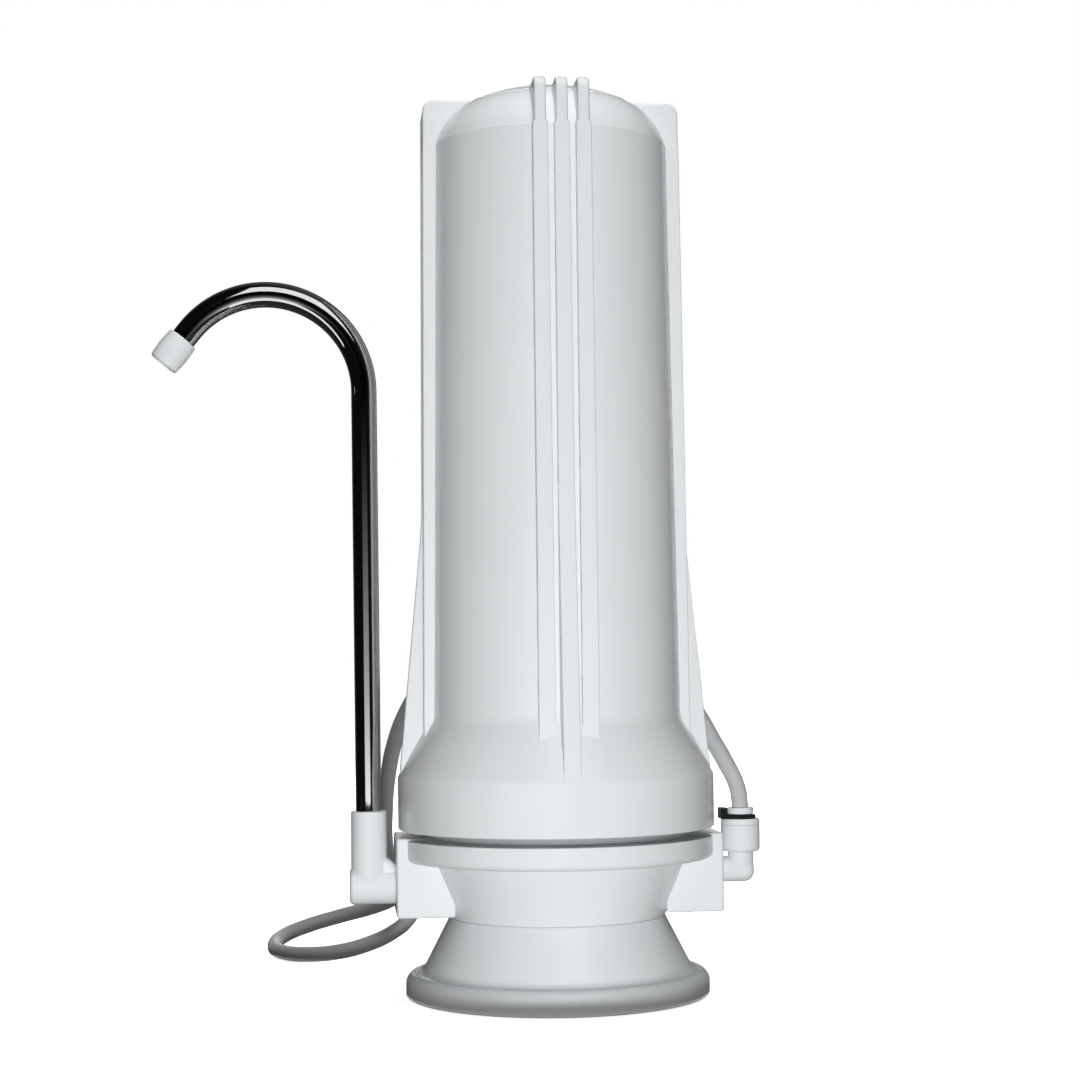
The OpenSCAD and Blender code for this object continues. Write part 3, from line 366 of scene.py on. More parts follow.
def board(outline, thickness, edge):
    """Draws an outline in XZ out along Y to the thickness at each height, with rounded edges."""
    bm = bmesh.new()
    corners = [bm.verts.new((x, -0.5, z)) for x, z, *_ in outline]
    bm.faces.new(corners)
    for corner, (_, _, *rounding) in zip(corners, outline):
        for amount in rounding:
            bevel(bm, [corner], amount, ARC_STEPS, "VERTICES")
    draw_face(bm, (0, 1, 0))
    for vert in bm.verts:
        vert.co.y *= thickness(vert.co.z)
    turn_out(bm)
    rims = [e for e in bm.edges if e.verts[0].co.y * e.verts[1].co.y > 0]
    bevel(bm, rims, edge, EDGE_STEPS, "EDGES")
    return bm


def rounded_box(low, high, edge):
    """A box between two corners, with all its edges rounded."""
    bm = bmesh.new()
    size = Vector(high) - Vector(low)
    middle = (Vector(low) + Vector(high)) / 2
    bmesh.ops.create_cube(bm, size=1, matrix=Matrix.LocRotScale(middle, None, size))
    bevel(bm, bm.edges[:], edge, CORNER_STEPS, "EDGES")
    return bm


def add(bm, shape, *places):
    """Puts a shape into a bmesh, once as it is or at each of the places."""
    for place in places or (Matrix(),):
        mesh = bpy.data.meshes.new("shape")
        shape.to_mesh(mesh)
        mesh.transform(place)
        bm.from_mesh(mesh)
        bpy.data.meshes.remove(mesh)
    shape.free()


def show(name, bm, material):
    """Makes a bmesh an object of that material in the scene."""
    mesh = bpy.data.meshes.new(name)
    bm.to_mesh(mesh)
    bm.free()
    mesh.materials.append(material)
    obj = bpy.data.objects.new(name, mesh)
    bpy.context.scene.collection.objects.link(obj)
    return obj


def piece(name, bm, body, slot, *nodes):
    """Makes a bmesh a smooth piece that rides on a body and stands for its CAD nodes."""
    obj = show(name, bm, material_for(slot))
    obj.data.shade_smooth()
    obj.data.set_sharp_from_angle(angle=SHARP_ANGLE)
    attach(obj, body)
    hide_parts(*nodes)
    # Long flat faces keep their own direction beside the small roundings.
    shading = obj.modifiers.new("shading", "WEIGHTED_NORMAL")
    shading.keep_sharp = True
    return obj


def dress(slot, *nodes):
    """Gives carried-over CAD nodes the material of their slot."""
    for name in nodes:
        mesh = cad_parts[name].data
        mesh.materials.clear()
        mesh.materials.append(material_for(slot))


def add_node(tree, kind, inputs=None, **settings):
    """Adds a node with its settings, and sets or links its inputs."""
    node = tree.nodes.new(kind)
    for key, value in settings.items():
        setattr(node, key, value)
    for key, value in (inputs or {}).items():
        if isinstance(value, bpy.types.NodeSocket):
            tree.links.new(value, node.inputs[key])
        else:
            node.inputs[key].default_value = value
    return node


def object_place(tree):
    """The shaded spot in the object's own axes."""
    return add_node(tree, "ShaderNodeTexCoord").outputs["Object"]


def noise(tree, spacing, detail, distortion=0.0):
    """Noise over the object that repeats about every so many millimetres."""
    return add_node(tree, "ShaderNodeTexNoise", {
        "Vector": object_place(tree), "Scale": 1 / (spacing * MM), "Detail": detail,
        "Distortion": distortion,
    }).outputs["Fac"]


def ranged(tree, value, low, high, start=0.0, end=1.0):
    """A value that runs from start to end, brought to run from low to high."""
    return add_node(tree, "ShaderNodeMapRange", {
        "Value": value, "From Min": start, "From Max": end, "To Min": low, "To Max": high,
    }).outputs["Result"]


def mixed(tree, share, first, second):
    """A mix of two colours."""
    return add_node(tree, "ShaderNodeMix", {
        0: share, 6: (*first, 1), 7: (*second, 1),
    }, data_type="RGBA").outputs[2]


def maths(tree, operation, first, second):
    """Two values, put together by an operation."""
    return add_node(tree, "ShaderNodeMath", {0: first, 1: second}, operation=operation).outputs[0]


def relief(tree, height, strength, depth):
    """The normal of a surface with bumps of a depth in millimetres."""
    return add_node(tree, "ShaderNodeBump", {
        "Height": height, "Strength": strength, "Distance": depth * MM,
    }).outputs["Normal"]


def new_material(name):
    """An empty node material and its node tree."""
    material = bpy.data.materials.new(name)
    material.use_nodes = True
    material.node_tree.nodes.clear()
    return material, material.node_tree


def plain_shader(tree, kind, inputs):
    """Gives a material one shader as its surface."""
    shader = add_node(tree, kind, inputs)
    add_node(tree, "ShaderNodeOutputMaterial", {"Surface": shader.outputs[0]})


def moulded_polypropylene(tree):
    """White injection-moulded polypropylene."""
    # Semi-gloss: broad soft highlights, faint cloudy flow marks and a very fine orange peel.
    finish = bpy.context.scene.water_filter.finish
    flow = noise(tree, spacing=38, detail=3, distortion=0.6)
    peel = noise(tree, spacing=0.7, detail=2)
    return {
        "Base Color": mixed(tree, flow, finish.plastic_shade, finish.plastic),
        "Roughness": ranged(tree, flow, low=0.2, high=0.3),
        "IOR": 1.49,
        "Normal": relief(tree, peel, strength=0.06, depth=0.05),
    }


def chrome_plate(tree):
    """Bright chrome plate on drawn tube."""
    # A near mirror: the studio shows in it as dark and white streaks, a little dulled by wiping.
    finish = bpy.context.scene.water_filter.finish
    wipe = noise(tree, spacing=9, detail=4)
    return {
        "Base Color": (*finish.chrome, 1),
        "Metallic": 1,
        "Roughness": ranged(tree, wipe, low=0.035, high=0.1, start=0.35, end=0.8),
        "Normal": relief(tree, wipe, strength=0.05, depth=0.02),
    }


def extruded_polyethylene(tree):
    """Natural polyethylene hose."""
    # Milky and waxy: light goes a little way in, and the die leaves faint uneven shine.
    finish = bpy.context.scene.water_filter.finish
    cloud = noise(tree, spacing=14, detail=3)
    return {
        "Base Color": mixed(tree, cloud, linear("#B2B4B6"), finish.hose),
        "Roughness": ranged(tree, cloud, low=0.26, high=0.4),
        "IOR": 1.51,
        "Subsurface Weight": 0.15,
        "Subsurface Radius": (1.2 * MM, 1.2 * MM, 1.2 * MM),
    }


def grained(dark, light, grain, roughness, depth, metallic=0.0):
    """A plain finish with grain of a size and a depth in millimetres."""
    def inputs(tree):
        pattern = noise(tree, spacing=grain, detail=4)
        return {
            "Base Color": mixed(tree, pattern, linear(dark), linear(light)),
            "Roughness": roughness,
            "IOR": 1.5,
            "Metallic": metallic,
            "Normal": relief(tree, pattern, strength=0.4, depth=depth),
        }
    return inputs


# Each slot's material: its name and what makes the inputs of its principled surface. The grained
# ones give a dark and a light colour, the grain's size, the roughness and the grain's depth.
MATERIALS = {
    "white_plastic": ("moulded_polypropylene", moulded_polypropylene),
    "chrome": ("chrome_plate", chrome_plate),
    "hose": ("extruded_polyethylene", extruded_polyethylene),
    # Black acetal: smooth and waxy, a dull sheen with a fine grain from the mould.
    "black_plastic": ("black_acetal", grained("#141517", "#202124", 0.6, 0.42, 0.03)),
    # Nitrile rubber: matt and almost black, with a soft bloom.
    "rubber": ("nitrile_rubber", grained("#161616", "#242424", 1.2, 0.75, 0.05)),
    # Closed-cell foam: matt, with cells about a millimetre wide.
    "pad_foam": ("foam_rubber", grained("#2A2A2B", "#414142", 1.0, 0.9, 0.25)),
    # Sintered carbon: dead black grit of half a millimetre.
    "carbon": ("sintered_carbon", grained("#0D0D0E", "#262628", 0.5, 0.95, 0.2)),
    # Spun fleece: soft off-white fibres in clumps of two millimetres.
    "fleece": ("spun_fleece", grained("#DAD9D4", "#F1F0EC", 2.0, 0.95, 0.3)),
    # Extruded netting: bluish white strands about three millimetres apart.
    "net": ("extruded_netting", grained("#C9D3DE", "#EDF1F5", 3.0, 0.6, 0.4)),
    # Stainless steel: grey, with fine turning marks.
    "steel": ("stainless_steel", grained("#9A9A98", "#B9B9B6", 0.4, 0.32, 0.02, metallic=1.0)),
}


def material_for(slot):
    """The material of a slot, made when it is first asked for."""
    name, make_inputs = MATERIALS[slot]
    known = bpy.data.materials.get(name)
    if known:
        return known
    material, tree = new_material(name)
    plain_shader(tree, "ShaderNodeBsdfPrincipled", make_inputs(tree))
    return material


# The camera's place, its turn and roll, its lens and sensor in millimetres, and its shift.
CAMERA_PLACE = (-0.0836, -0.7956, 0.128)
CAMERA_TURN = math.radians(6)
CAMERA_ROLL = math.radians(0.66)
CAMERA_LENS = 71.1
CAMERA_SENSOR = 36
CAMERA_SHIFT = (-0.0132, 0.1049)
WHITE = (1, 1, 1)
WORLD_TINT = (1, 0.98, 0.94)
WORLD_FILL = 0.11
# The floor's half width, and its glow up to the near distance, which is full from the far one on.
FLOOR_SIZE = 6
FLOOR_GLOW = 0.84
FLOOR_NEAR = 0.35
FLOOR_FAR = 1.1
# The studio's wall: its outline, and its glow, which grows from start to end along the way.
WALL_FOOT = 0.002
WALL_R = 1.9
WALL_H = 1.7
WALL_TOP = 1.9
WALL_WAY = (0.7, 0.7, 0)
WALL_GLOW = {"low": 0.004, "high": 0.085, "start": -0.4, "end": 0.8}
UPRIGHT = 90
# White cards: place, size, tilt in degrees, strength and whether they fade towards their top.
CARDS = {
    "front_card": ((-0.091, -0.2, 0.167), (0.17, 0.216), UPRIGHT, 1.15, True),
    "table_glow": ((-0.33, -0.21, 0.003), (0.66, 0.14), 0, 1.1, False),
    "top_card": ((0.12, -0.95, 1.16), (0.87, 1.0), 47, 1.05, False),
    "back_card": ((0.05, 1.45, 0.3), (0.6, 0.7), UPRIGHT, 1.1, False),
}
# The power of the height left above, by which such a card fades.
FADE_POWER = 3
# Lamps: place, diameter and power, all aimed at one spot.
LAMPS = {
    "low_key": ((-0.07, -1.2, -0.02), 0.22, 12.4),
    "top_light": ((0, -0.02, 0.75), 0.15, 1.63),
    "back_left": ((-0.62, 1.35, 0.5), 0.5, 12),
    "back_right": ((0.72, 1.3, 0.5), 0.5, 12),
}
LAMP_AIM = Vector((0, 0, 0.17))
# Flags: place, size and the share of the light that they let through.
FLAGS = {
    "rim_flag": ((0, -0.085, -0.022), (0.8, 0.056), 0.2),
    "hose_flag": ((-0.108, 0.056, 0.04), (0.124, 0.18), 0.1),
}
# The net round the collar's gap: the same share, and how far it stands inside the collar.
COLLAR_NET = 0.38
NET_INSET = 1 * MM


class WATERFILTER_OT_stage(bpy.types.Operator):
    """Sets the camera, the floor, the lights and the dark studio that metal reflects"""

    bl_idname = "water_filter.stage"
    bl_label = "Stage"

    def execute(self, context):
        scene = context.scene
        scene.view_settings.view_transform = "Standard"
        self.set_camera(scene)
        self.set_world(scene)
        self.set_floor(scene)
        self.set_wall()
        for name, values in CARDS.items():
            self.card(name, *values)
        for name, values in LAMPS.items():
            self.lamp(scene, name, *values)
        self.set_flags(scene)
        return {"FINISHED"}

    def set_camera(self, scene):
        forward = Vector((math.sin(CAMERA_TURN), math.cos(CAMERA_TURN), 0))
        level = Vector((math.cos(CAMERA_TURN), -math.sin(CAMERA_TURN), 0))
        up = Vector((0, 0, 1))
        right = level * math.cos(CAMERA_ROLL) - up * math.sin(CAMERA_ROLL)
        top = level * math.sin(CAMERA_ROLL) + up * math.cos(CAMERA_ROLL)
        camera = bpy.data.cameras.new("camera")
        camera.lens = CAMERA_LENS
        camera.sensor_width = CAMERA_SENSOR
        camera.shift_x, camera.shift_y = CAMERA_SHIFT
        obj = bpy.data.objects.new("camera", camera)
        turned = Matrix((right, top, -forward)).transposed().to_4x4()
        obj.matrix_world = Matrix.Translation(CAMERA_PLACE) @ turned
        scene.collection.objects.link(obj)
        scene.camera = obj

    def set_world(self, scene):
        # White where it is seen or mirrored, and a dim, slightly warm fill for the rest.
        world = bpy.data.worlds.new("studio")
        world.use_nodes = True
        tree = world.node_tree
        tree.nodes.clear()
        seen = self.seen(tree)
        light = add_node(tree, "ShaderNodeBackground", {
            "Color": mixed(tree, seen, WORLD_TINT, WHITE),
            "Strength": ranged(tree, seen, low=WORLD_FILL, high=1),
        })
        add_node(tree, "ShaderNodeOutputWorld", {"Surface": light.outputs[0]})
        scene.world = world

    def set_floor(self, scene):
        # A pale matt floor: white all round, and it keeps the object's shadow.
        material, tree = new_material("pale_floor")
        away = add_node(tree, "ShaderNodeVectorMath", {0: object_place(tree)}, operation="LENGTH")
        glow = ranged(
            tree, away.outputs["Value"], low=FLOOR_GLOW, high=1, start=FLOOR_NEAR, end=FLOOR_FAR
        )
        plain_shader(tree, "ShaderNodeBsdfPrincipled", {
            "Base Color": (*scene.water_filter.finish.floor, 1),
            "Roughness": 0.9,
            "Specular IOR Level": 0,
            "Emission Color": (*WHITE, 1),
            "Emission Strength": maths(tree, "MULTIPLY", self.seen(tree), glow),
        })
        bm = bmesh.new()
        bmesh.ops.create_grid(bm, x_segments=1, y_segments=1, size=FLOOR_SIZE)
        floor = self.put("floor", bm, material)
        floor.visible_diffuse = False
        floor.visible_shadow = False

    def set_wall(self):
        # Only reflections see this studio, black at the left and grey at the back and the right.
        material, tree = new_material("dark_cloth")
        aside = add_node(tree, "ShaderNodeVectorMath", {
            0: object_place(tree), 1: WALL_WAY,
        }, operation="DOT_PRODUCT")
        glow = ranged(tree, aside.outputs["Value"], **WALL_GLOW)
        plain_shader(tree, "ShaderNodeEmission", {"Strength": glow})
        wall = lathe((0, WALL_FOOT), [(WALL_R, WALL_FOOT), (WALL_R, WALL_H), (0, WALL_TOP)])
        self.put_reflected("studio_wall", wall, material)

    def set_flags(self, scene):
        # What only shades: flags before the rim and the hose, and a net round the collar's gap.
        for name, (place, size, share) in FLAGS.items():
            self.flag(name, self.sheet(place, size, UPRIGHT), share)
        base = scene.water_filter.base
        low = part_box("filter_base")[0].z + base.bowl_h + base.flange_t
        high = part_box("canister")[0].z
        radius = scene.water_filter.canister.collar_r - NET_INSET
        gap = lathe((radius, low), [(radius, high)], steps=WIDE_STEPS)
        self.flag("collar_net", gap, COLLAR_NET)

    def seen(self, tree):
        """One for rays from the camera, a mirror or something clear, and none for the others."""
        ray = add_node(tree, "ShaderNodeLightPath").outputs
        mirrored = maths(tree, "MAXIMUM", ray["Is Camera Ray"], ray["Is Glossy Ray"])
        return maths(tree, "MAXIMUM", mirrored, ray["Is Transmission Ray"])

    def flag(self, name, bm, share):
        """A net that only shades, and lets a share of the light through."""
        material, tree = new_material(name)
        plain_shader(tree, "ShaderNodeBsdfTransparent", {"Color": (share, share, share, 1)})
        obj = self.put_reflected(name, bm, material)
        obj.visible_glossy = False
        obj.visible_shadow = True

    def sheet(self, place, size, tilt):
        """A flat sheet of a size, tilted up from level by so many degrees."""
        bm = bmesh.new()
        bmesh.ops.create_grid(bm, x_segments=1, y_segments=1, size=0.5, matrix=(
            Matrix.Translation(place) @ Matrix.Rotation(math.radians(tilt), 4, "X")
            @ Matrix.Diagonal((*size, 1, 1))
        ))
        return bm

    def card(self, name, place, size, tilt, strength, fades):
        """A white card that only reflections see, bright all over or fading towards its top."""
        material, tree = new_material(name)
        level = strength
        if fades:
            spot = add_node(tree, "ShaderNodeSeparateXYZ", {0: object_place(tree)})
            foot = place[2] - size[1] / 2
            left = ranged(tree, spot.outputs["Z"], low=1, high=0, start=foot, end=foot + size[1])
            level = maths(tree, "MULTIPLY", maths(tree, "POWER", left, FADE_POWER), strength)
        plain_shader(tree, "ShaderNodeEmission", {"Strength": level})
        self.put_reflected(name, self.sheet(place, size, tilt), material)

    def put(self, name, bm, material):
        """Puts a bmesh on the stage."""
        obj = show(name, bm, material)
        return obj

    def put_reflected(self, name, bm, material):
        """Puts a bmesh on the stage where only reflections see it."""
        obj = self.put(name, bm, material)
        obj.visible_camera = False
        obj.visible_diffuse = False
        obj.visible_shadow = False
        obj.visible_transmission = False
        return obj

    def lamp(self, scene, name, place, size, power):
        """A round lamp aimed at the object's middle, which reflections don't see."""
        light = bpy.data.lights.new(name, "AREA")
        light.shape = "DISK"
        light.size = size
        light.energy = power
        obj = bpy.data.objects.new(name, light)
        aim = LAMP_AIM - Vector(place)
        obj.rotation_euler = aim.to_track_quat("-Z", "Y").to_euler()
        obj.location = place
        obj.visible_glossy = False
        scene.collection.objects.link(obj)


# The hose's two runs, in millimetres, from the inlet to its coil and from there to the diverter.
HOSE_ROUTE = [
    (70, 0, 53.45), (70, 0, 69.5), (69, 0.6, 77), (65.2, 3.6, 86), (61.4, 9.8, 94.5),
    (57.8, 19, 103.5), (52.6, 30, 113), (44, 42, 122.5), (32, 53, 131), (17, 61, 137),
    (0, 66, 139.5), (-17, 68, 137.5), (-32, 68, 130), (-44, 67, 119), (-52.8, 67, 106),
    (-58.3, 68, 92), (-61, 70, 78), (-62, 74, 65), (-62, 81.5, 53), (-60.6, 92, 43),
    (-58, 105.5, 34.5), (-55.8, 120.5, 27.5), (-57.8, 135, 22), (-66.8, 147, 17),
    (-80.5, 152, 13), (-94.5, 149.5, 9.5), (-105, 139.5, 6.5), (-108.5, 125, 4.2),
    (-105, 111, 3.4), (-95, 101, 3.5), (-81, 97.5, 4.8), (-67, 101, 8), (-57, 111, 11.5),
    (-51.5, 126, 14), (-48.5, 145, 15), (-44.5, 164, 14.8), (-38, 182, 13.6), (-30, 195.5, 12.3),
]
TAIL_ROUTE = [
    (50.6, 162, 6.2), (47, 152, 8.8), (42, 142.5, 11.3), (38, 134.5, 13.3), (36, 126, 14),
    (36, 117.05, 14),
]
# The curve's steps round its section and between its points.
HOSE_SECTION_STEPS = 7
HOSE_STEPS = 5
# The coil, in millimetres, turns and degrees. It drops a layer near the middle of its turns.
COIL_CENTRE = Vector((13, 184, 0))
COIL_RADIUS = 39
COIL_STEP = 7
COIL_LAYER = 6.9
COIL_LOW = 4.6
COIL_TURNS = 2.375
COIL_START = 135
COIL_POINTS = 57
COIL_DROP = 0.25
TIE_TURN = 0.5
TIE_CORNER = 2.4 * MM


def coil_point(turns):
    """A point of the coil in millimetres, some turns from its start, its direction and radius."""
    past_middle = turns - COIL_TURNS / 2
    angle = math.radians(COIL_START - 360 * turns)
    radius = COIL_RADIUS - COIL_STEP * COIL_TURNS / 2 + COIL_STEP * abs(past_middle)
    drop = (1 + math.sin(math.pi / 2 * max(-1, min(1, past_middle / COIL_DROP)))) / 2
    out = Vector((math.cos(angle), math.sin(angle), 0))
    point = COIL_CENTRE + radius * out + Vector((0, 0, COIL_LOW + COIL_LAYER * (1 - drop)))
    return point, Vector((math.sin(angle), -math.cos(angle), 0)), radius


class WATERFILTER_OT_hose(bpy.types.Operator):
    """Lays the supply hose from the inlet round the canister, into its coil and to the diverter"""

    bl_idname = "water_filter.hose"
    bl_label = "Supply hose"

    def execute(self, context):
        sizes = context.scene.water_filter.hose
        tie = self.make_tie(sizes)
        across = sizes.diameter / MM
        first, along, _ = coil_point(0)
        last, onward, _ = coil_point(COIL_TURNS)
        coil = [coil_point(COIL_TURNS * i / COIL_POINTS)[0] for i in range(COIL_POINTS + 1)]
        lead_in = [first - 2 * across * along, first - across * along]
        lead_out = [last + across * onward, last + 2 * across * onward]
        route = [*HOSE_ROUTE, *lead_in, *coil, *lead_out, *TAIL_ROUTE]
        curve = bpy.data.curves.new("supply_hose", "CURVE")
        curve.dimensions = "3D"
        curve.bevel_depth = sizes.diameter / 2
        curve.bevel_resolution = HOSE_SECTION_STEPS
        curve.resolution_u = HOSE_STEPS
        curve.use_fill_caps = True
        spline = curve.splines.new("BEZIER")
        spline.bezier_points.add(len(route) - 1)
        for knot, point in zip(spline.bezier_points, route):
            knot.co = Vector(point) * MM
            knot.handle_left_type = "AUTO"
            knot.handle_right_type = "AUTO"
        curve.materials.append(material_for("hose"))
        hose = bpy.data.objects.new("supply_hose", curve)
        context.scene.collection.objects.link(hose)
        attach(hose, "base")
        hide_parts("hose", "hose_coil", "hose_tail")
        return {"FINISHED"}

    def make_tie(self, sizes):
        upper, _, upper_r = coil_point(TIE_TURN)
        lower, _, lower_r = coil_point(TIE_TURN + 1)
        spare = sizes.diameter / 2 + sizes.tie_gap
        low = (min(upper_r, lower_r) * MM - spare, lower.z * MM - spare)
        high = (max(upper_r, lower_r) * MM + spare, upper.z * MM + spare)
        bm = bmesh.new()
        corners = [
            bm.verts.new((x, -sizes.tie_w / 2, z))
            for x, z in (low, (high[0], low[1]), high, (low[0], high[1]))
        ]
        for a, b in zip(corners, corners[1:] + corners[:1]):
            bm.edges.new((a, b))
        bevel(bm, corners, TIE_CORNER, CORNER_STEPS, "VERTICES")
        draw_edges(bm, bm.edges[:], (0, sizes.tie_w, 0))
        turn_out(bm)
        turn = math.radians(COIL_START - 360 * TIE_TURN)
        move(bm, Matrix.Translation(COIL_CENTRE * MM) @ Matrix.Rotation(turn, 4, "Z"))
        bmesh.ops.solidify(bm, geom=bm.faces[:], thickness=-sizes.tie_t)
        turn_out(bm)
        return piece("coil_tie", bm, "base", "black_plastic", "hose_tie")


# The body's turned bands: their places from the tap thread's foot and their rounding, in grooves.
BAND_PLACES = (-3, 3)
BAND_EDGE = 0.3
NUT_SIDES = 6
# The knob: its shoulder and face as shares of its length and radius, and its flutes, which fade
# towards its middle by that power.
KNOB_STEPS = 72
KNOB_SHOULDER = 0.8
KNOB_FACE = 0.7
KNOB_FLUTES = 18
FLUTE_FADE = 4


class WATERFILTER_OT_diverter(bpy.types.Operator):
    """Models the tap diverter at the hose's far end, with its nut and its pull knob"""

    bl_idname = "water_filter.diverter"
    bl_label = "Tap diverter"

    def execute(self, context):
        sizes = context.scene.water_filter.diverter
        self.make_shell(sizes)
        self.make_nut(sizes)
        self.make_pull(sizes)
        dress("rubber", "diverter_washer", "diverter_valve")
        dress("white_plastic", "diverter_aerator")
        return {"FINISHED"}

    def make_shell(self, sizes):
        groove = sizes.groove
        edge = BAND_EDGE * groove
        bands = []
        for place in BAND_PLACES:
            z = sizes.tap_z + place * groove
            bands += [
                (sizes.radius, z, edge), (sizes.radius - groove / 2, z + groove / 2, edge),
                (sizes.radius, z + groove, edge),
            ]
        body = lathe((sizes.aerator_r, 0), [
            (sizes.skirt_r, 0, groove),
            (sizes.skirt_r, sizes.skirt_z - groove, groove / 2),
            (sizes.radius, sizes.skirt_z, groove / 2),
            *bands,
            (sizes.radius, sizes.height, groove),
            (sizes.tap_r, sizes.height, groove / 2), (sizes.tap_r, sizes.tap_z),
            (sizes.washer_r, sizes.tap_z), (sizes.washer_r, sizes.washer_z),
            (sizes.chamber_r, sizes.washer_z), (sizes.chamber_r, sizes.aerator_z),
            (sizes.aerator_r, sizes.aerator_z),
        ], closed=True)
        bm = bmesh.new()
        add(bm, body, Matrix.Translation((sizes.x, sizes.y, 0)))
        root = sizes.tap_r
        hose_port = rod(sizes.hose_port_r, root, sizes.hose_port_y - sizes.y, groove)
        boss = rod(sizes.boss_r, root, sizes.y - sizes.boss_y, groove)
        at_port = Matrix.Translation((sizes.x, sizes.y, sizes.port_z))
        add(bm, hose_port, at_port @ ALONG_Y)
        add(bm, boss, at_port @ Matrix.Rotation(math.pi, 4, "Z") @ ALONG_Y)
        piece("diverter_shell", bm, "base", "chrome", "diverter_body")

    def make_nut(self, sizes):
        bm = bmesh.new()
        bmesh.ops.create_circle(
            bm, cap_ends=True, segments=NUT_SIDES, radius=sizes.nut_flats / math.sqrt(3)
        )
        draw_face(bm, (0, 0, sizes.nut_l))
        turn_out(bm)
        bevel(bm, bm.edges[:], sizes.groove, EDGE_STEPS, "EDGES")
        move(bm, Matrix.Translation((sizes.x, sizes.nut_y, sizes.port_z)) @ ALONG_Y)
        piece("hose_nut", bm, "base", "white_plastic", "diverter_nut")

    def make_pull(self, sizes):
        radius = sizes.knob_r
        knob = lathe((0, 0), [
            (radius, 0, 3 * sizes.groove),
            (radius, KNOB_SHOULDER * sizes.knob_l, sizes.groove),
            (KNOB_FACE * radius, sizes.knob_l, sizes.groove), (0, sizes.knob_l),
        ], steps=KNOB_STEPS)
        for vert in knob.verts:
            share = Vector(vert.co.xy).length / radius
            wave = 1 - math.cos(KNOB_FLUTES * math.atan2(vert.co.y, vert.co.x))
            vert.co.xy *= 1 - sizes.flute / radius / 2 * wave * share ** FLUTE_FADE
        move(knob, Matrix.Translation((sizes.x, sizes.knob_y, sizes.port_z)) @ ALONG_Y)
        piece("pull_knob", knob, "pull", "black_plastic", "diverter_knob")
        low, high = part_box("diverter_stem")
        stem = rod(sizes.stem_r, 0, high.y - low.y, sizes.groove / 2, sizes.groove / 2)
        move(stem, Matrix.Translation((sizes.x, low.y, sizes.port_z)) @ ALONG_Y)
        piece("pull_stem", stem, "pull", "chrome", "diverter_stem")


# Rounding of the foot's top edge.
FOOT_EDGE = 0.6 * MM


class WATERFILTER_OT_foot(bpy.types.Operator):
    """Models the round foot with its rolled rim, and finishes its pad and screws"""

    bl_idname = "water_filter.foot"
    bl_label = "Foot"

    def execute(self, context):
        sizes = context.scene.water_filter.foot
        low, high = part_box("foot")
        rim = Vector((sizes.rim_r - sizes.bead_r, sizes.rim_h - sizes.bead_r))
        top = Vector((sizes.top_r, high.z))
        run = (Vector((sizes.skirt_r, sizes.rim_h)) - top).normalized()
        out = Vector((-run.y, run.x))
        # The hollow curve touches the cone and the rim, so its centre lies on both offsets.
        start = top + sizes.fillet_r * out
        across = start - rim
        reach = sizes.fillet_r + sizes.bead_r
        middle = -across.dot(run)
        along = middle - math.sqrt(middle ** 2 - across.dot(across) + reach ** 2)
        fillet = start + along * run
        rim_a = math.atan2(fillet.y - rim.y, fillet.x - rim.x)
        cone_a = math.atan2(out.y, out.x)
        slope = (sizes.skirt_r - sizes.top_r) / (high.z - sizes.rim_h)
        plate_z = high.z - sizes.plate_t

        def inner_r(z):
            return sizes.top_r + slope * (high.z - z) - sizes.wall / out.x

        bm = lathe((sizes.access_r, low.z), [
            (sizes.rim_r, low.z, sizes.edge_r), (sizes.rim_r, rim.y),
            Arc(rim, rim_a), Arc(fillet, cone_a - rim_a),
            (*top, FOOT_EDGE), (0, high.z), (0, plate_z), (inner_r(plate_z), plate_z),
            (inner_r(sizes.ledge_z), sizes.ledge_z), (sizes.access_r, sizes.ledge_z),
        ], steps=WIDE_STEPS, closed=True)
        piece("foot_shell", bm, "base", "white_plastic", "foot")
        dress("pad_foam", "foot_pad")
        dress("steel", "foot_screws")
        return {"FINISHED"}


# Roundings of the bowl's foot and the seat, the neck's top outside and inside, and the posts.
BOWL_EDGE = 0.5 * MM
NECK_EDGE = 0.6 * MM
NECK_BORE_EDGE = 0.4 * MM
POST_EDGE = 1 * MM
# Steps in each turn of the thread.
THREAD_STEPS = 96


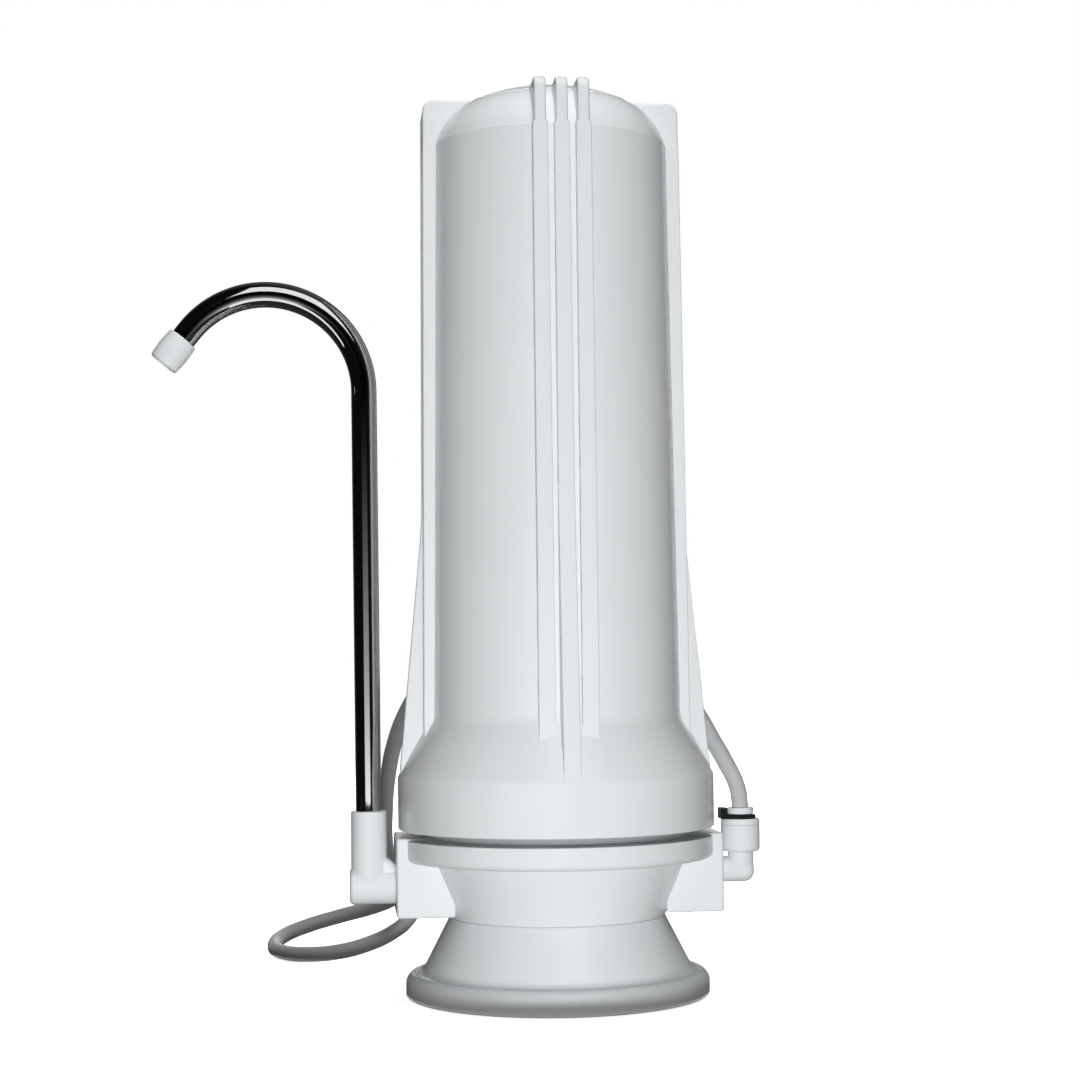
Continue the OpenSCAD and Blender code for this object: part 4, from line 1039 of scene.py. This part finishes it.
class WATERFILTER_OT_base(bpy.types.Operator):
    """Models the base: bowl, flange, threaded neck, port block and the cartridge's seat"""

    bl_idname = "water_filter.base"
    bl_label = "Base"

    def execute(self, context):
        sizes = context.scene.water_filter.base
        low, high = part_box("filter_base")
        flange_z = low.z + sizes.bowl_h
        flange_top = flange_z + sizes.flange_t
        floor_z = low.z + sizes.floor_t
        neck_bore = sizes.neck_r - sizes.neck_wall
        neck_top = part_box("canister_seal")[0].z
        bm = lathe((0, low.z), [
            (sizes.bowl_foot_r, low.z, BOWL_EDGE), (sizes.bowl_top_r, flange_z),
            (sizes.flange_r, flange_z, sizes.flange_edge_r),
            (sizes.flange_r, flange_top, sizes.edge_r),
            (sizes.neck_r, flange_top), (sizes.neck_r, neck_top, NECK_EDGE),
            (neck_bore, neck_top, NECK_BORE_EDGE), (neck_bore, flange_z),
            (sizes.bowl_foot_r - sizes.bowl_wall, floor_z), (0, floor_z),
        ], steps=WIDE_STEPS)
        for side in (-1, 1):
            ends = sorted((side * sizes.block_root_x, side * high.x))
            add(bm, rounded_box(
                (ends[0], -sizes.block_d / 2, low.z + sizes.block_lift),
                (ends[1], sizes.block_d / 2, flange_top + sizes.block_proud),
                sizes.block_edge_r,
            ))
        seat_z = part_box("lower_gasket")[0].z
        spigot_z = seat_z + sizes.spigot_r
        add(bm, lathe((0, floor_z - OVERLAP), [
            (sizes.seat_r, floor_z - OVERLAP), (sizes.seat_r, seat_z, BOWL_EDGE),
            (sizes.spigot_r, seat_z), (sizes.spigot_r, spigot_z, POST_EDGE), (0, spigot_z),
        ]))
        add(bm, self.thread(sizes, flange_top + sizes.thread_pitch, neck_top - sizes.thread_pitch))
        piece("base_shell", bm, "base", "white_plastic", "filter_base")
        return {"FINISHED"}

    def thread(self, sizes, low, high):
        """A helical ridge round the neck."""
        bm = bmesh.new()
        crest = sizes.neck_r + sizes.thread_h
        root = sizes.neck_r - sizes.thread_h
        half = sizes.thread_pitch / 4
        spots = [(root, -half), (crest, -half / 2), (crest, half / 2), (root, half)]
        bm.faces.new([bm.verts.new((r, 0, low + z)) for r, z in spots])
        turns = (high - low) / sizes.thread_pitch
        steps = round(THREAD_STEPS * turns)
        bmesh.ops.spin(
            bm, geom=bm.faces[:], cent=(0, 0, 0), axis=(0, 0, 1), angle=turns * math.tau,
            dvec=(0, 0, (high - low) / steps), steps=steps, use_merge=False
        )
        settle(bm)
        return bm


def dome(edge, rise, crown, reach):
    """A dome's knuckle and crown as arcs up from its edge, their join and the way out there."""
    turn = math.asin(reach / crown)
    out = Vector((math.sin(turn), math.cos(turn)))
    crown_c = Vector((0, edge.y + rise - crown))
    join = crown_c + crown * out
    to_edge = edge - join
    knuckle = -to_edge.dot(to_edge) / (2 * to_edge.dot(out))
    knuckle_c = join - knuckle * out
    edge_a = math.atan2(edge.y - knuckle_c.y, edge.x - knuckle_c.x)
    return Arc(knuckle_c, math.pi / 2 - turn - edge_a), Arc(crown_c, turn), join, out


# Roundings of the collar's top and of the shoulder's top, the width of the ledge in the collar and
# how far the post's foot slopes in the dome.
COLLAR_EDGE = 0.8 * MM
SHOULDER_EDGE = 2 * MM
LEDGE_W = 6.5 * MM
POST_SLOPE = 2 * MM
# The ribs: how far they sink into the collar, the rounding where the flare starts, and how far
# their upper part reaches below the dome's edge and inside the lower part.
RIB_SINK = 0.3 * MM
FLARE_EDGE = 12 * MM
RIB_LAP = 3 * MM
RIB_INSET = 2 * MM


class WATERFILTER_OT_canister(bpy.types.Operator):
    """Models the canister: collar, shoulder, tube and dome, with four groups of three ribs"""

    bl_idname = "water_filter.canister"
    bl_label = "Canister"

    def execute(self, context):
        sizes = context.scene.water_filter.canister
        base = context.scene.water_filter.base
        low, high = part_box("canister")
        dome_z = high.z - sizes.dome_h
        collar_top = low.z + sizes.collar_h
        tube_z = collar_top + sizes.shoulder_h
        bm = self.shell(sizes, low.z, collar_top, tube_z, dome_z)
        self.add_ribs(bm, context.scene.water_filter.ribs, collar_top, tube_z, dome_z)
        under = high.z - sizes.wall / 2
        post_z = sizes.press_z - sizes.post_l
        add(bm, lathe((0, post_z), [
            (base.spigot_r, post_z, POST_EDGE), (base.spigot_r, sizes.press_z),
            (base.seat_r, sizes.press_z), (base.seat_r, under - POST_SLOPE), (0, under),
        ]))
        piece("canister_shell", bm, "housing", "white_plastic", "canister")
        dress("rubber", "canister_seal")
        return {"FINISHED"}

    def shell(self, sizes, low, collar_top, tube_z, dome_z):
        step = sizes.mould_step
        ledge = low + sizes.ledge_h
        # The dome starts half a step up, and its crown is raised by a step.
        edge = Vector((sizes.tube_head_r - step, dome_z + step / 2))
        knuckle, crown, join, out = dome(
            edge, sizes.dome_h - 1.5 * step, sizes.crown_r, sizes.crown_reach
        )
        wall = sizes.wall
        in_knuckle, in_crown, *_ = dome(
            Vector((sizes.tube_head_r - wall, dome_z)), sizes.dome_h - wall, sizes.crown_r - wall,
            sizes.crown_reach - wall
        )
        return lathe((sizes.collar_bore_r, low), [
            (sizes.collar_r, low, sizes.edge_r), (sizes.collar_r, collar_top, COLLAR_EDGE),
            (sizes.tube_foot_r, tube_z, SHOULDER_EDGE), (sizes.tube_head_r, dome_z),
            edge, knuckle, join + step * out, crown, (0, dome_z + sizes.dome_h - wall),
            Arc(in_crown.centre, -in_crown.angle), Arc(in_knuckle.centre, -in_knuckle.angle),
            (sizes.tube_foot_r - wall, tube_z), (sizes.collar_bore_r - LEDGE_W, ledge),
            (sizes.collar_bore_r, ledge),
        ], steps=WIDE_STEPS, closed=True)

    def add_ribs(self, bm, ribs, collar_top, tube_z, dome_z):
        top_z = dome_z + ribs.rise
        lean = (ribs.top_r - ribs.foot_r) / (top_z - tube_z)

        def edge_r(z):
            return ribs.foot_r + lean * (z - tube_z)

        def thick(z):
            share = (z - collar_top) / (dome_z - collar_top)
            return ribs.foot_t + (ribs.line_t - ribs.foot_t) * share

        flare_z = collar_top + ribs.flare_h
        foot_z = collar_top - RIB_SINK
        outer_z = (collar_top + tube_z) / 2
        lap_z = dome_z - RIB_LAP
        middle = board([
            (ribs.root_r, dome_z), (ribs.root_r, foot_z), (ribs.flare_r, foot_z),
            (edge_r(flare_z), flare_z, FLARE_EDGE), (edge_r(dome_z), dome_z),
        ], thick, ribs.edge_r)
        outer = board([
            (ribs.root_r, dome_z), (ribs.root_r, outer_z), (edge_r(tube_z), outer_z),
            (edge_r(tube_z), tube_z), (edge_r(dome_z), dome_z),
        ], thick, ribs.edge_r)
        upper = board([
            (ribs.top_root_r, top_z), (ribs.top_root_r, top_z - RIB_LAP),
            (ribs.root_r - RIB_INSET, lap_z), (edge_r(dome_z), lap_z),
            (ribs.top_r, top_z, ribs.corner_r),
        ], lambda z: ribs.top_t, ribs.top_edge_r)
        beside = [Matrix.Translation((0, k * ribs.pitch, 0)) for k in (-1, 1)]
        add(bm, middle, *QUARTER_TURNS)
        add(bm, outer, *[turn @ place for turn in QUARTER_TURNS for place in beside])
        add(bm, upper, *[turn @ place for turn in QUARTER_TURNS for place in (*beside, Matrix())])


class WATERFILTER_OT_cartridge(bpy.types.Operator):
    """Finishes the filter cartridge inside the canister"""

    bl_idname = "water_filter.cartridge"
    bl_label = "Cartridge"

    def execute(self, context):
        dress("carbon", "carbon_block")
        dress("white_plastic", "cartridge_core", "lower_end_cap", "upper_end_cap")
        dress("fleece", "cartridge_wrap")
        dress("net", "cartridge_net")
        dress("rubber", "lower_gasket", "upper_gasket")
        return {"FINISHED"}


# Roundings under the barrel and at the cap's top.
BARREL_FILLET = 0.4 * MM
CAP_EDGE = 0.8 * MM


class WATERFILTER_OT_inlet(bpy.types.Operator):
    """Models the push-in inlet elbow with its cap and collet, and finishes its clip and rings"""

    bl_idname = "water_filter.inlet"
    bl_label = "Inlet elbow"

    def execute(self, context):
        sizes = context.scene.water_filter.inlet
        face_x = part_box("filter_base")[1].x
        upright = Matrix.Translation((sizes.axis_x, 0, 0))
        bm = bmesh.new()
        add(
            bm, rod(sizes.body_r, face_x - OVERLAP, sizes.axis_x + sizes.body_r, sizes.end_r),
            Matrix.Translation((0, 0, sizes.axis_z)) @ ALONG_X
        )
        socket_z = sizes.barrel_z + sizes.edge_r
        add(bm, lathe((0, sizes.axis_z), [
            (sizes.body_r, sizes.axis_z), (sizes.body_r, sizes.barrel_z, BARREL_FILLET),
            (sizes.barrel_r, sizes.barrel_z, sizes.edge_r),
            (sizes.barrel_r, sizes.cap_z, sizes.groove_r),
            (sizes.socket_r, sizes.cap_z), (sizes.socket_r, socket_z), (0, socket_z),
        ]), upright)
        piece("inlet_body", bm, "base", "white_plastic", "inlet_elbow")
        cap_bore = sizes.collet_r + FIT_GAP
        cap = lathe((cap_bore, sizes.cap_z), [
            (sizes.barrel_r, sizes.cap_z, sizes.groove_r),
            (sizes.barrel_r, sizes.cap_top_z, CAP_EDGE),
            (cap_bore, sizes.cap_top_z, sizes.groove_r),
        ], closed=True)
        move(cap, upright)
        piece("barrel_cap", cap, "base", "white_plastic", "inlet_cap")
        collet = lathe((sizes.collet_bore_r, sizes.collet_z), [
            (sizes.collet_r, sizes.collet_z, sizes.groove_r), (sizes.collet_r, sizes.flange_z),
            (sizes.flange_r, sizes.flange_z, sizes.groove_r),
            (sizes.flange_r, sizes.flange_top_z, 2 * sizes.groove_r),
            (sizes.collet_bore_r, sizes.flange_top_z, sizes.groove_r),
        ], closed=True)
        move(collet, upright)
        piece("hose_collet", collet, "base", "white_plastic", "inlet_collet")
        dress("black_plastic", "tube_lock_clip")
        dress("steel", "inlet_grip_ring")
        dress("rubber", "inlet_ring")
        return {"FINISHED"}


# Rounding of the web's upper corner.
WEB_CORNER = 2 * MM


class WATERFILTER_OT_outlet(bpy.types.Operator):
    """Models the outlet elbow that carries the spout, and finishes its sealing rings"""

    bl_idname = "water_filter.outlet"
    bl_label = "Outlet elbow"

    def execute(self, context):
        sizes = context.scene.water_filter.outlet
        face_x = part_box("filter_base")[0].x
        bm = bmesh.new()
        add(bm, lathe((0, sizes.axis_z), [
            (sizes.socket_foot_r, sizes.axis_z), (sizes.socket_r, sizes.socket_top_z, sizes.lip_r),
            (sizes.bore_r, sizes.socket_top_z, sizes.lip_r / 2), (sizes.bore_r, sizes.seat_z),
            (0, sizes.seat_z),
        ]), Matrix.Translation((sizes.axis_x, 0, 0)))
        add(
            bm, rod(sizes.barrel_r, -OVERLAP, sizes.barrel_l, sizes.edge_r),
            Matrix.Translation((face_x, 0, sizes.axis_z)) @ ALONG_X.inverted()
        )
        root = face_x + OVERLAP
        shoulder = sizes.axis_z + sizes.barrel_r
        web_top = shoulder + sizes.web_h
        web = board([
            (root, sizes.axis_z), (root, shoulder),
            (sizes.axis_x + sizes.socket_r, web_top, WEB_CORNER), (sizes.axis_x, web_top),
            (sizes.axis_x, sizes.axis_z),
        ], lambda z: sizes.web_t, sizes.web_edge_r)
        # The web stops at the bore, so that the spout turns clear of it.
        cut = bmesh.ops.bisect_plane(
            web, geom=web.verts[:] + web.edges[:] + web.faces[:], clear_inner=True,
            plane_co=(sizes.axis_x + sizes.bore_r, 0, 0), plane_no=(1, 0, 0)
        )["geom_cut"]
        bmesh.ops.edgeloop_fill(web, edges=edges_of(cut))
        add(bm, web)
        piece("outlet_body", bm, "base", "white_plastic", "outlet_elbow")
        dress("rubber", "spout_rings")
        return {"FINISHED"}


BEND_STEPS = 112
# The tip's outside: shares of its radius and of its length, and the rounding there in millimetres.
TIP_OUTLINE = [(0.94, 0, 0.7), (1, 0.3, 2), (1, 0.62, 2), (0.93, 1, 0.9)]
MOUTH_EDGE = 0.6 * MM


class WATERFILTER_OT_spout(bpy.types.Operator):
    """Bends the chrome gooseneck and models the white tip on its end"""

    bl_idname = "water_filter.spout"
    bl_label = "Spout"

    def execute(self, context):
        sizes = context.scene.water_filter.spout
        outlet = context.scene.water_filter.outlet
        bend_c = Vector((outlet.axis_x - sizes.bend_r, 0, sizes.bend_z))
        at_end = (
            Matrix.Translation(bend_c) @ Matrix.Rotation(-sizes.bend_a, 4, "Y")
            @ Matrix.Translation((sizes.bend_r, 0, 0))
        )
        self.make_tube(sizes, outlet, bend_c, at_end)
        self.make_tip(sizes, at_end)
        return {"FINISHED"}

    def make_tube(self, sizes, outlet, bend_c, at_end):
        # A hair above its seat, so that it turns clear.
        foot = outlet.seat_z + SEAT_GAP
        bm = bmesh.new()
        bmesh.ops.create_circle(
            bm, cap_ends=False, segments=SMALL_STEPS, radius=sizes.radius,
            matrix=Matrix.Translation((outlet.axis_x, 0, foot))
        )
        drawn = draw_edges(bm, bm.edges[:], (0, 0, sizes.bend_z - foot))
        bent = bmesh.ops.spin(
            bm, geom=verts_of(drawn) + edges_of(drawn), cent=bend_c, axis=(0, -1, 0),
            angle=sizes.bend_a, steps=BEND_STEPS, use_merge=False
        )["geom_last"]
        draw_edges(bm, edges_of(bent), at_end.to_3x3() @ Vector((0, 0, sizes.end_l)))
        settle(bm)
        bmesh.ops.solidify(bm, geom=bm.faces[:], thickness=sizes.wall)
        turn_out(bm)
        piece("gooseneck", bm, "spout", "chrome", "spout_tube")

    def make_tip(self, sizes, at_end):
        inside = sizes.radius + FIT_GAP
        stop = sizes.tip_l - sizes.mouth_l
        tip = lathe((inside, 0), [
            *[(r * sizes.tip_r, z * sizes.tip_l, edge * MM) for r, z, edge in TIP_OUTLINE],
            (sizes.mouth_r, sizes.tip_l, MOUTH_EDGE), (sizes.mouth_r, stop), (inside, stop),
        ], closed=True)
        move(tip, at_end @ Matrix.Translation((0, 0, sizes.end_l - stop)))
        piece("tip_cap", tip, "spout", "white_plastic", "spout_tip")


OPERATORS = [
    WATERFILTER_OT_stage, WATERFILTER_OT_diverter, WATERFILTER_OT_hose, WATERFILTER_OT_foot,
    WATERFILTER_OT_base, WATERFILTER_OT_canister, WATERFILTER_OT_cartridge,
    WATERFILTER_OT_inlet, WATERFILTER_OT_outlet, WATERFILTER_OT_spout,
]


class WATERFILTER_PT_pieces(bpy.types.Panel):
    """Lists the filter's pieces and its stage"""

    bl_label = "Water Filter"
    bl_space_type = "VIEW_3D"
    bl_region_type = "UI"
    bl_category = "Water Filter"

    def draw(self, context):
        for operator in OPERATORS:
            self.layout.operator(operator.bl_idname)


CLASSES = [
    FootSizes, BaseSizes, CanisterSizes, RibSizes, InletSizes, OutletSizes, SpoutSizes, HoseSizes,
    DiverterSizes, Finishes, FilterSettings, *OPERATORS, WATERFILTER_PT_pieces,
]


def register():
    for kind in CLASSES:
        bpy.utils.register_class(kind)
    bpy.types.Scene.water_filter = PointerProperty(type=FilterSettings)


def unregister():
    del bpy.types.Scene.water_filter
    for kind in reversed(CLASSES):
        bpy.utils.unregister_class(kind)


def main():
    register()
    bpy.ops.water_filter.stage()
    bpy.ops.water_filter.diverter()
    bpy.ops.water_filter.hose()
    bpy.ops.water_filter.foot()
    bpy.ops.water_filter.base()
    bpy.ops.water_filter.canister()
    bpy.ops.water_filter.cartridge()
    bpy.ops.water_filter.inlet()
    bpy.ops.water_filter.outlet()
    bpy.ops.water_filter.spout()


if __name__ == "__main__":
    main()
